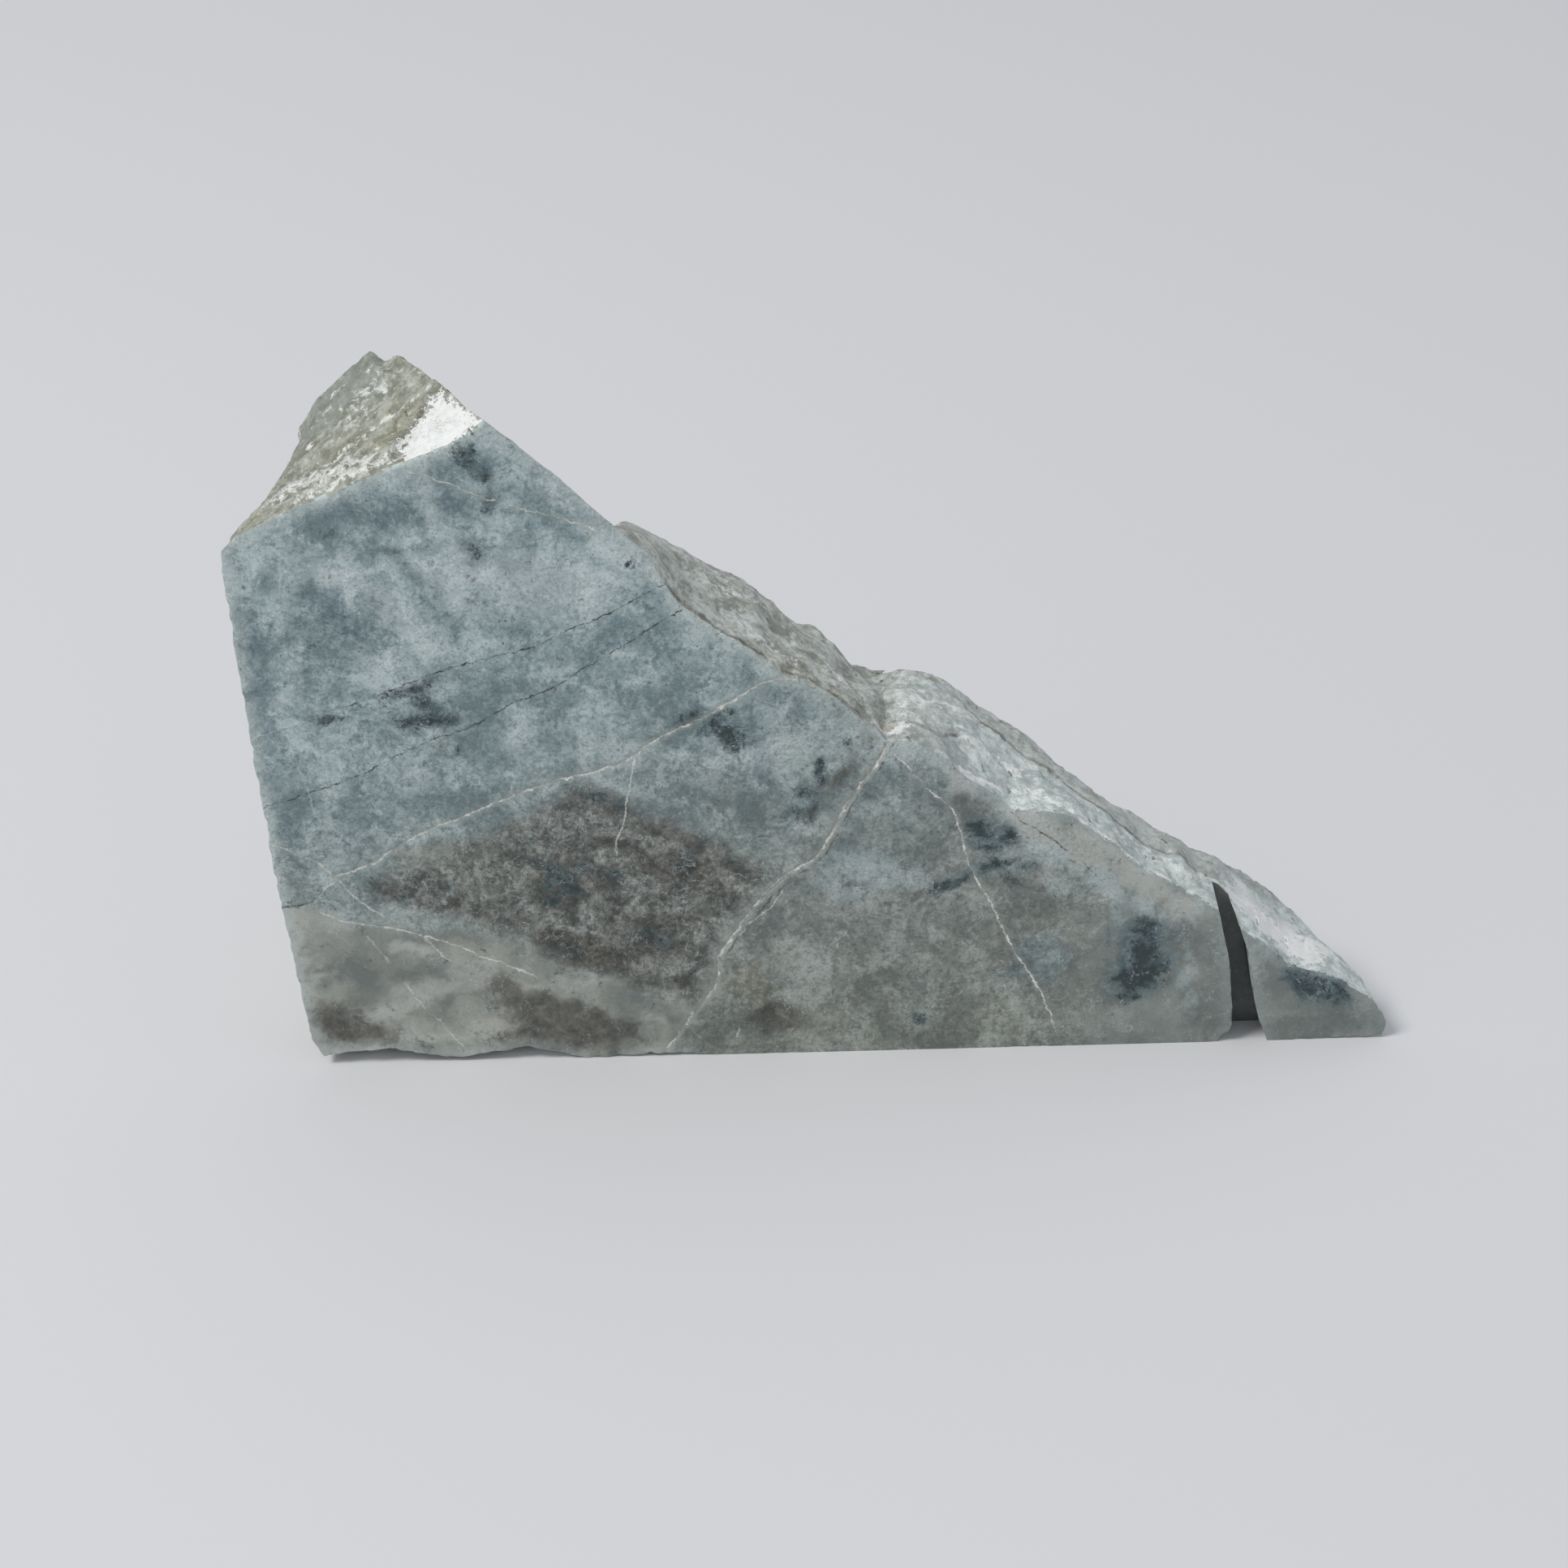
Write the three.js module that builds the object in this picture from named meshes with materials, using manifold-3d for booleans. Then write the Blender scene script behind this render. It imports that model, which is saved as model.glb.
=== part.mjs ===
// A piece of raw jade: a wedge-shaped slab with one flat sawn face, standing on its long edge.
// Units are millimetres. +Z is up, +X runs along the sawn face and +Y runs from it into the stone.
// The origin is on the ground under the middle of the stone's box.

import * as THREE from 'three';
import { mergeVertices } from 'three/addons/utils/BufferGeometryUtils.js';
import Module from 'manifold-3d';

// Driving dimensions
const slotDepth = 2.0;
const slotOvershoot = 1.0;
const scallopReach = 1.8;
const ledgePitch = 1.35;
const ledgeRise = 0.3;
const edgeWaver = 0.12;
const rindRelief = 0.3;
const backRelief = 0.8;
const flankRows = 6;

// Rows of the back: the share of the way from the rim to the heart, and of the rim's points
const backRows = [
  [0.05, 1], [0.11, 0.9], [0.18, 0.8], [0.26, 0.7], [0.35, 0.6],
  [0.45, 0.5], [0.56, 0.4], [0.67, 0.32], [0.78, 0.22], [0.89, 0.12],
];
const heart = new THREE.Vector3(22, 0, 14);

// Broken planes of the back: depth at the left of the foot, then its change per mm of x and of z
const backPlanes = [
  [17.0, 0.01, -0.2],
  [30.5, -0.42, -0.28],
  [24.0, -0.05, -0.42],
  [11.2, 0.5, -0.1],
];

// Each rail starts on the edge of the sawn face as [x, z], passes a middle point and ends on
// the rim where the stone turns to its back. Both of these are [x, y, z].
const leftFlank = [
  { face: [2.9, 0.5], middle: [4.5, 6.5, 0.2], rim: [6.4, 13.7, 0.3] },
  { face: [2.3, 1.7], middle: [3.6, 6.5, 1.8], rim: [5.6, 13.2, 2.0] },
  { face: [2.0, 4.3], middle: [3.2, 6.2, 4.4], rim: [5.2, 12.8, 4.6] },
  { face: [1.7, 7.2], middle: [2.9, 6.0, 7.3], rim: [4.9, 12.3, 7.5] },
  { face: [1.4, 9.7], middle: [2.6, 5.8, 9.8], rim: [4.5, 11.9, 10.0] },
  { face: [1.1, 12.7], middle: [2.3, 5.6, 12.8], rim: [4.2, 11.4, 13.0] },
  { face: [1.0, 14.9], middle: [2.1, 5.4, 15.0], rim: [4.0, 11.0, 15.2] },
  { face: [0.8, 17.3], middle: [2.0, 5.2, 17.3], rim: [3.8, 10.6, 17.4] },
  { face: [0.6, 20.3], middle: [1.8, 5.0, 20.3], rim: [3.6, 10.1, 20.4] },
  { face: [0.4, 23.3], middle: [1.6, 4.7, 23.2], rim: [3.4, 9.6, 23.3] },
  { face: [0.2, 26.1], middle: [1.4, 4.4, 26.0], rim: [3.2, 9.1, 26.0] },
  { face: [0.1, 28.1], middle: [1.4, 4.2, 28.1], rim: [3.2, 8.7, 28.2] },
  { face: [0.0, 29.5], middle: [1.5, 4.0, 29.6], rim: [3.3, 8.4, 30.0] },
  { face: [0.1, 30.4], middle: [1.8, 4.0, 30.7], rim: [3.3, 8.2, 31.0] },
];
const brokenTop = [
  { face: [0.6, 30.9], middle: [2.0, 4.0, 31.3], rim: [3.4, 8.2, 31.7] },
  { face: [1.3, 31.4], middle: [2.6, 4.0, 32.0], rim: [3.5, 8.1, 32.4] },
  { face: [3.0, 32.2], middle: [3.4, 4.2, 32.9], rim: [3.7, 8.0, 33.7] },
  { face: [4.6, 32.9], middle: [4.5, 4.2, 33.7], rim: [4.4, 8.0, 35.1] },
  { face: [6.3, 33.6], middle: [5.9, 4.2, 34.6], rim: [5.6, 8.0, 36.2] },
  { face: [7.9, 34.3], middle: [7.2, 4.0, 35.3], rim: [6.5, 8.0, 37.0] },
  { face: [9.5, 34.9], middle: [8.6, 3.8, 36.0], rim: [7.3, 8.0, 37.6] },
  { face: [10.7, 35.3], middle: [9.6, 3.8, 36.6], rim: [8.0, 7.7, 37.2] },
  { face: [12.0, 35.9], middle: [10.6, 3.7, 37.0], rim: [8.5, 7.5, 37.5] },
  { face: [12.8, 36.4], middle: [11.1, 3.6, 37.2], rim: [8.7, 7.4, 37.5] },
];
const hiddenSlope = [
  { face: [13.5, 37.0], middle: [11.5, 3.4, 37.4], rim: [8.9, 7.3, 37.4] },
  { face: [15.1, 35.6], middle: [13.5, 4.0, 34.6], rim: [11.5, 8.2, 33.4] },
  { face: [16.8, 34.1], middle: [15.6, 4.0, 32.5], rim: [14.0, 8.5, 30.3] },
  { face: [18.2, 32.6], middle: [17.4, 3.9, 30.8], rim: [16.5, 8.4, 27.9] },
];
const rindSlope = [
  { face: [19.1, 31.7], middle: [18.9, 2.6, 30.2], rim: [18.6, 6.2, 27.9] },
  { face: [19.9, 30.9], middle: [19.9, 1.4, 30.5], rim: [19.7, 3.2, 29.9] },
  { face: [20.5, 30.3], middle: [20.7, 1.8, 29.9], rim: [20.8, 3.6, 29.1] },
  { face: [21.1, 29.8], middle: [21.3, 2.1, 29.2], rim: [21.5, 4.2, 28.4] },
  { face: [21.4, 29.3], middle: [21.7, 2.2, 28.8], rim: [21.9, 4.4, 28.1] },
  { face: [21.8, 28.3], middle: [22.2, 2.4, 28.3], rim: [22.3, 4.7, 27.7] },
  { face: [22.0, 27.9], middle: [22.6, 2.6, 27.8], rim: [22.8, 4.9, 27.4] },
  { face: [22.6, 26.9], middle: [23.2, 2.6, 27.1], rim: [23.4, 5.0, 26.8] },
  { face: [24.0, 25.6], middle: [24.3, 2.6, 26.1], rim: [24.5, 5.0, 26.0] },
  { face: [25.8, 24.4], middle: [25.6, 2.6, 25.1], rim: [25.5, 5.2, 25.6] },
  { face: [26.8, 23.7], middle: [26.7, 2.8, 24.4], rim: [26.5, 5.5, 24.7] },
  { face: [27.4, 23.1], middle: [27.4, 2.8, 23.7], rim: [27.6, 5.5, 23.7] },
  { face: [27.8, 22.6], middle: [28.0, 2.8, 23.1], rim: [28.3, 5.3, 23.0] },
  { face: [28.6, 22.5], middle: [28.7, 2.8, 22.7], rim: [28.9, 5.2, 22.3] },
  { face: [30.0, 21.6], middle: [30.0, 2.8, 21.8], rim: [30.2, 5.4, 21.4] },
  { face: [31.0, 20.8], middle: [31.2, 3.0, 20.9], rim: [31.3, 6.0, 20.5] },
  { face: [32.5, 19.5], middle: [32.5, 3.4, 19.6], rim: [32.4, 6.6, 19.4] },
  { face: [33.0, 18.8], middle: [33.0, 3.6, 18.8], rim: [33.1, 7.0, 18.6] },
  { face: [34.1, 18.8], middle: [33.9, 4.0, 19.2], rim: [33.6, 8.0, 18.8] },
  { face: [35.0, 18.3], middle: [35.0, 4.2, 19.0], rim: [34.7, 8.4, 18.6] },
  { face: [36.0, 17.7], middle: [35.9, 4.4, 18.5], rim: [35.7, 8.6, 18.3] },
  { face: [36.8, 16.9], middle: [36.8, 4.6, 17.7], rim: [36.9, 9.0, 17.4] },
  { face: [38.5, 15.6], middle: [38.4, 4.6, 16.6], rim: [38.6, 8.6, 16.0] },
  { face: [39.4, 14.6], middle: [39.5, 5.2, 15.9], rim: [39.9, 7.6, 15.5] },
  { face: [40.5, 14.5], middle: [40.6, 4.8, 15.2], rim: [40.9, 7.0, 15.1] },
  { face: [41.7, 14.4], middle: [41.6, 4.2, 14.7], rim: [41.9, 6.0, 14.4] },
  { face: [42.7, 14.1], middle: [42.6, 3.3, 14.2], rim: [42.7, 5.7, 13.7] },
  { face: [43.6, 13.3], middle: [43.5, 3.0, 13.5], rim: [43.6, 5.5, 13.1] },
  { face: [44.7, 12.5], middle: [44.8, 3.0, 12.6], rim: [45.0, 5.5, 11.9] },
  { face: [45.5, 11.6], middle: [45.6, 3.3, 11.9], rim: [45.8, 5.5, 11.4] },
  { face: [46.6, 10.6], middle: [46.5, 3.6, 11.2], rim: [46.6, 5.5, 11.0] },
  { face: [47.7, 10.1], middle: [47.6, 3.6, 10.5], rim: [47.8, 5.4, 10.0] },
  { face: [48.8, 9.3], middle: [48.6, 3.4, 9.9], rim: [48.9, 5.2, 9.4] },
  { face: [49.6, 8.8], middle: [49.5, 3.0, 9.1], rim: [49.9, 5.0, 8.9] },
  { face: [50.6, 8.1], middle: [50.6, 2.8, 8.6], rim: [50.8, 5.0, 8.6] },
  { face: [51.7, 7.0], middle: [51.7, 3.0, 7.6], rim: [51.7, 5.3, 7.8] },
];
const tip = [
  { face: [52.3, 6.5], middle: [52.4, 3.2, 7.1], rim: [52.5, 5.5, 7.2] },
  { face: [53.0, 6.0], middle: [53.2, 3.4, 6.4], rim: [53.4, 5.8, 6.4] },
  { face: [54.3, 4.7], middle: [54.3, 3.4, 5.4], rim: [54.3, 6.0, 5.5] },
  { face: [55.2, 4.4], middle: [55.1, 2.8, 4.8], rim: [55.4, 5.0, 4.8] },
  { face: [56.3, 4.1], middle: [56.2, 1.8, 4.3], rim: [56.4, 3.2, 4.3] },
  { face: [57.2, 3.7], middle: [57.1, 1.5, 3.8], rim: [57.6, 2.6, 3.4] },
  { face: [58.0, 3.0], middle: [58.2, 1.4, 2.9], rim: [58.7, 2.5, 2.2] },
  { face: [58.6, 2.6], middle: [58.8, 0.9, 2.4], rim: [59.0, 2.2, 1.6] },
  { face: [59.1, 2.0], middle: [59.1, 1.0, 1.8], rim: [59.1, 2.6, 1.1] },
  { face: [59.5, 1.4], middle: [59.4, 1.0, 1.3], rim: [59.1, 3.0, 0.7] },
  { face: [59.7, 0.8], middle: [59.5, 1.2, 0.7], rim: [59.0, 3.4, 0.35] },
];
const foot = [
  { face: [59.4, 0.1], middle: [59.1, 1.6, 0], rim: [58.4, 4.0, 0] },
  { face: [55.9, 0.05], middle: [55.6, 2.6, 0], rim: [55.0, 6.0, 0] },
  { face: [51.5, 0.05], middle: [51.5, 3.8, 0], rim: [51.0, 8.6, 0] },
  { face: [46.3, 0], middle: [46.0, 5.0, 0], rim: [45.5, 10.6, 0] },
  { face: [41.9, 0], middle: [41.5, 6.0, 0], rim: [41.0, 12.6, 0] },
  { face: [37.6, 0], middle: [37.0, 7.0, 0], rim: [36.5, 14.4, 0] },
  { face: [33.3, 0], middle: [33.0, 8.0, 0], rim: [32.0, 15.9, 0] },
  { face: [28.9, 0], middle: [28.5, 8.0, 0], rim: [27.5, 16.9, 0] },
  { face: [24.6, 0], middle: [24.3, 8.0, 0], rim: [23.5, 17.2, 0] },
  { face: [21.5, 0.2], middle: [21.2, 8.0, 0], rim: [20.5, 17.1, 0] },
  { face: [16.8, 0], middle: [16.8, 8.0, 0], rim: [16.8, 16.6, 0] },
  { face: [13.8, 0.8], middle: [13.8, 8.0, 0], rim: [14.0, 16.0, 0] },
  { face: [9.8, 0.2], middle: [10.0, 7.5, 0], rim: [11.2, 15.4, 0] },
  { face: [6.4, 0.9], middle: [7.5, 7.0, 0], rim: [9.0, 14.8, 0] },
  { face: [3.8, 0.7], middle: [5.4, 6.6, 0], rim: [7.4, 14.3, 0] },
];

// Relief from noise that is the same every time
function cellValue(i, j, k) {
  let n = (i * 374761393 + j * 668265263 + k * 1274126177) | 0;
  n = Math.imul(n ^ (n >>> 13), 1103515245);
  n ^= n >>> 16;
  return (n >>> 0) / 4294967295;
}

function smoothNoise(x, y, z) {
  const i = Math.floor(x);
  const j = Math.floor(y);
  const k = Math.floor(z);
  const ease = (t) => t * t * (3 - 2 * t);
  const u = ease(x - i);
  const v = ease(y - j);
  const w = ease(z - k);
  const mix = THREE.MathUtils.lerp;
  const layer = (c) =>
    mix(
      mix(cellValue(i, j, c), cellValue(i + 1, j, c), u),
      mix(cellValue(i, j + 1, c), cellValue(i + 1, j + 1, c), u),
      v
    );
  return mix(layer(k), layer(k + 1), w) * 2 - 1;
}

function relief(p, size, seed) {
  const coarse = smoothNoise(p.x / size + seed, p.y / size, p.z / size);
  const fine = smoothNoise((p.x * 2.3) / size, (p.y * 2.3) / size + seed, (p.z * 2.3) / size);
  return coarse + 0.5 * fine;
}

// The rails at an even spacing round the stone
function spread(rails, next, spacing, zone) {
  const ring = [];
  const list = [...rails, next];
  for (let r = 0; r < rails.length; r++) {
    const a = list[r];
    const b = list[r + 1];
    const length = Math.hypot(b.face[0] - a.face[0], b.face[1] - a.face[1]);
    const rimLength = Math.hypot(b.rim[0] - a.rim[0], b.rim[1] - a.rim[1], b.rim[2] - a.rim[2]);
    const count = Math.max(1, Math.round(Math.max(length, rimLength * 0.6) / spacing));
    for (let c = 0; c < count; c++) {
      const t = c / count;
      const face = new THREE.Vector3(a.face[0], 0, a.face[1]);
      face.lerp(new THREE.Vector3(b.face[0], 0, b.face[1]), t);
      if (c > 0) {
        face.x += edgeWaver * smoothNoise(face.x * 1.7, face.z * 1.7, 2.5);
        face.z += edgeWaver * smoothNoise(face.x * 1.7, face.z * 1.7, 7.5);
      }
      const middle = new THREE.Vector3(...a.middle).lerp(new THREE.Vector3(...b.middle), t);
      const rim = new THREE.Vector3(...a.rim).lerp(new THREE.Vector3(...b.rim), t);
      ring.push({ face, middle, rim, zone });
    }
  }
  return ring;
}

// The lowest of a few broken planes, with its edges worn round
function backSurface(x, z) {
  const depths = backPlanes.map(([base, perX, perZ]) => base + perX * x + perZ * z);
  const wear = 0.5;
  return -wear * Math.log(depths.reduce((sum, depth) => sum + Math.exp(-depth / wear), 0));
}

const ring = [
  ...spread(leftFlank, brokenTop[0], 1.1, 'flank'),
  ...spread(brokenTop, hiddenSlope[0], 0.5, 'broken'),
  ...spread(hiddenSlope, rindSlope[0], 0.9, 'hidden'),
  ...spread(rindSlope, tip[0], 0.5, 'rind'),
  ...spread(tip, foot[0], 0.5, 'tip'),
  ...spread(foot, leftFlank[0], 1.6, 'foot'),
];

const amount = { flank: 0.8, broken: 0.5, hidden: 0.8, rind: 1.0, tip: 0.5, foot: 0 };

// One row of points for each step from the sawn face back to the rim
function flankPoint(post, row) {
  const half = row / flankRows;
  const p = post.face.clone();
  if (half <= 1) {
    p.lerp(post.middle, half);
  } else {
    p.copy(post.middle).lerp(post.rim, half - 1);
  }
  if (post.zone === 'foot') {
    p.z = Math.max(0, post.face.z) * Math.max(0, 1 - p.y / scallopReach);
    return p;
  }
  const depth = row / (2 * flankRows);
  const away = Math.min(1, 5 * depth) * Math.min(1, 4 * (1 - depth) + 0.25);
  const out = new THREE.Vector3(0, 0, 1);
  if (post.zone === 'flank') {
    out.set(-1, 0, 0.1);
  }
  if (post.zone === 'hidden') {
    out.set(0.7, 0.3, 0.7);
  }
  p.addScaledVector(out, rindRelief * amount[post.zone] * away * relief(p, 1.6, 3.7));
  if (post.zone === 'broken') {
    const along = (p.y - 0.35 * p.x + 0.6 * smoothNoise(p.x / 2, p.y / 2, 5)) / ledgePitch;
    const step = along - Math.floor(along);
    p.z += ledgeRise * away * (Math.min(1, step * 4) - step);
  }
  return p;
}

// The back, drawn in from the rim to the middle of the stone
function backPoint(rimPoint, t) {
  const p = rimPoint.clone().lerp(heart, t);
  const target = backSurface(p.x, p.z);
  const blend = 1 - (1 - t) ** 6;
  p.y = THREE.MathUtils.lerp(rimPoint.y, target, blend);
  const swell = Math.min(1, 3 * t);
  p.y += backRelief * swell * smoothNoise(p.x / 7, 8.2, p.z / 6);
  p.y += 0.35 * backRelief * swell * smoothNoise(p.x / 4, 1.4, p.z / 3);
  return p;
}

// A flat lid on the sawn face
function lid(row) {
  const outline = row.map((p) => new THREE.Vector2(p.x, p.z));
  const triangles = THREE.ShapeUtils.triangulateShape(outline, []);
  const sum = triangles.reduce((area, t) => area + THREE.ShapeUtils.area(t.map((i) => outline[i])), 0);
  const same = sum > 0 === THREE.ShapeUtils.area(outline) > 0;
  return triangles.flatMap(([a, b, c]) => (same ? [a, c, b] : [a, b, c]));
}

// Triangles between two closed rows that may hold different numbers of points
function band(first, count, next, nextCount) {
  const faces = [];
  let i = 0;
  let j = 0;
  while (i < count || j < nextCount) {
    const a = first + (i % count);
    const c = next + (j % nextCount);
    if (j >= nextCount || (i < count && (i + 1) / count <= (j + 1) / nextCount)) {
      faces.push(a, first + ((i + 1) % count), c);
      i += 1;
    } else {
      faces.push(a, next + ((j + 1) % nextCount), c);
      j += 1;
    }
  }
  return faces;
}

// The whole skin as one closed shell of triangles
function stoneShell() {
  const rows = [];
  for (let row = 0; row <= 2 * flankRows; row++) {
    rows.push(ring.map((post) => flankPoint(post, row)));
  }
  const rimRow = rows[rows.length - 1];
  backRows.forEach(([t, share]) => {
    const count = Math.round(rimRow.length * share);
    const row = [];
    for (let k = 0; k < count; k++) {
      row.push(backPoint(rimRow[Math.round((k * rimRow.length) / count) % rimRow.length], t));
    }
    rows.push(row);
  });
  rows.push([backPoint(rimRow[0], 1)]);
  const faces = lid(rows[0]);
  let first = 0;
  for (let r = 0; r + 1 < rows.length; r++) {
    const next = first + rows[r].length;
    faces.push(...band(first, rows[r].length, next, rows[r + 1].length));
    first = next;
  }
  return { points: rows.flat(), faces };
}

function closedGeometry(points, faces) {
  const geometry = new THREE.BufferGeometry();
  const flat = new Float32Array(points.flatMap((p) => [p.x, p.y, p.z]));
  geometry.setAttribute('position', new THREE.BufferAttribute(flat, 3));
  geometry.setIndex(faces);
  return mergeVertices(geometry, 1e-4);
}

function volumeOf(geometry) {
  const position = geometry.getAttribute('position');
  const index = geometry.getIndex();
  const a = new THREE.Vector3();
  const b = new THREE.Vector3();
  const c = new THREE.Vector3();
  let sum = 0;
  for (let i = 0; i < index.count; i += 3) {
    a.fromBufferAttribute(position, index.getX(i));
    b.fromBufferAttribute(position, index.getX(i + 1));
    c.fromBufferAttribute(position, index.getX(i + 2));
    sum += a.dot(b.cross(c)) / 6;
  }
  return sum;
}

function facingOut(geometry) {
  if (volumeOf(geometry) < 0) {
    const index = geometry.getIndex();
    for (let i = 0; i < index.count; i += 3) {
      const keep = index.getX(i);
      index.setX(i, index.getX(i + 1));
      index.setX(i + 1, keep);
    }
  }
  return geometry;
}

const wasm = await Module();
wasm.setup();

function toSolid(geometry) {
  const mesh = new wasm.Mesh({
    numProp: 3,
    vertProperties: new Float32Array(geometry.getAttribute('position').array),
    triVerts: new Uint32Array(geometry.getIndex().array),
  });
  return new wasm.Manifold(mesh);
}

function fromSolid(solid) {
  const mesh = solid.getMesh();
  const geometry = new THREE.BufferGeometry();
  geometry.setAttribute('position', new THREE.BufferAttribute(mesh.vertProperties, 3));
  geometry.setIndex(new THREE.BufferAttribute(mesh.triVerts, 1));
  geometry.computeVertexNormals();
  return geometry;
}

// The narrow blind slot that splits the tip from the rest of the sawn face
const slotOutline = [
  [50.1, 9.4], [50.5, 7.8], [50.7, 6.8], [51.0, 5.5], [51.2, 4.25], [51.3, 3.0], [51.4, 1.7],
  [51.4, 1.1], [51.2, 0.6], [50.8, 0.25], [50.3, -0.6], [53.5, -0.6], [53.2, 0.3], [52.9, 1.0],
  [52.6, 2.2], [52.3, 3.7], [52.0, 5.7], [51.6, 7.0], [51.15, 8.0], [50.6, 9.4],
];

function slotCutter() {
  const shape = new THREE.Shape(slotOutline.map(([x, z]) => new THREE.Vector2(x, z)));
  const reach = slotDepth + slotOvershoot;
  const geometry = new THREE.ExtrudeGeometry(shape, { depth: reach, bevelEnabled: false });
  geometry.rotateX(Math.PI / 2);
  geometry.translate(0, slotDepth, 0);
  geometry.deleteAttribute('normal');
  geometry.deleteAttribute('uv');
  return facingOut(mergeVertices(geometry, 1e-4));
}

const shell = stoneShell();
const whole = toSolid(facingOut(closedGeometry(shell.points, shell.faces)));
const cut = whole.subtract(toSolid(slotCutter()));
const stoneGeometry = fromSolid(cut);
stoneGeometry.computeBoundingBox();
const middle = stoneGeometry.boundingBox.getCenter(new THREE.Vector3());
stoneGeometry.translate(-middle.x, -middle.y, 0);

const jade = new THREE.MeshStandardMaterial({
  color: new THREE.Color(0.5, 0.53, 0.53),
  roughness: 0.5,
  metalness: 0,
});
const rawJade = new THREE.Mesh(stoneGeometry, jade);
rawJade.name = 'raw_jade';

const model = new THREE.Group();
model.add(rawJade);

export default model;
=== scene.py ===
import bpy
import bmesh
import math
from mathutils import Matrix, Vector, kdtree, noise


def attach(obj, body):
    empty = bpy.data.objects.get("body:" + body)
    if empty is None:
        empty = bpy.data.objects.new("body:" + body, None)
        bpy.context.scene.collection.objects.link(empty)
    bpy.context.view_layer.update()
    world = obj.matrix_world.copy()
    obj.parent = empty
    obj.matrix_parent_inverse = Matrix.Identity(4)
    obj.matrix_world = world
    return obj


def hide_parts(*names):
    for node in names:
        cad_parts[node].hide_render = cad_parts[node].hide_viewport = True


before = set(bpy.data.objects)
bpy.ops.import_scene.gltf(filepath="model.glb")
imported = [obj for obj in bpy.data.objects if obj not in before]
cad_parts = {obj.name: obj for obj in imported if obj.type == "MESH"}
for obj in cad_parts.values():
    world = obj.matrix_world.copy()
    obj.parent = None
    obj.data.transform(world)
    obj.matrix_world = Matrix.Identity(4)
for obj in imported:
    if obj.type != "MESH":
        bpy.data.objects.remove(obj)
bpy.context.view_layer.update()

# Points on the stone are given in mm from the lower left corner of its sawn face:
# x along the face, y into the stone, z up. The stone's own frame is centred on its box.
corner = Vector((29.85, 8.6, 0.0))


def smooth(low, high, value):
    t = min(1.0, max(0.0, (value - low) / (high - low)))
    return t * t * (3 - 2 * t)


def tone(red, green, blue, lit=0.74):
    # A colour as it looks under the light that falls on it, turned to the stone's own colour
    def straight(v):
        v /= 255
        return v / 12.92 if v <= 0.04045 else ((v + 0.055) / 1.055) ** 2.4
    return tuple(min(0.92, max(0.01, straight(v) - 0.015) / lit) for v in (red, green, blue)) + (1.0,)


def drawnLine(width, strength, across=False, dark=False, depth=0.0, halo=0.0, points=()):
    # Width, depth and points in mm; a halo is how strongly the stone is paler beside the line
    return {"width": width, "strength": strength, "across": across, "dark": dark, "depth": depth,
            "halo": halo, "points": points, "line": [Vector((x, 0, z)) for x, z in points]}


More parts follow.
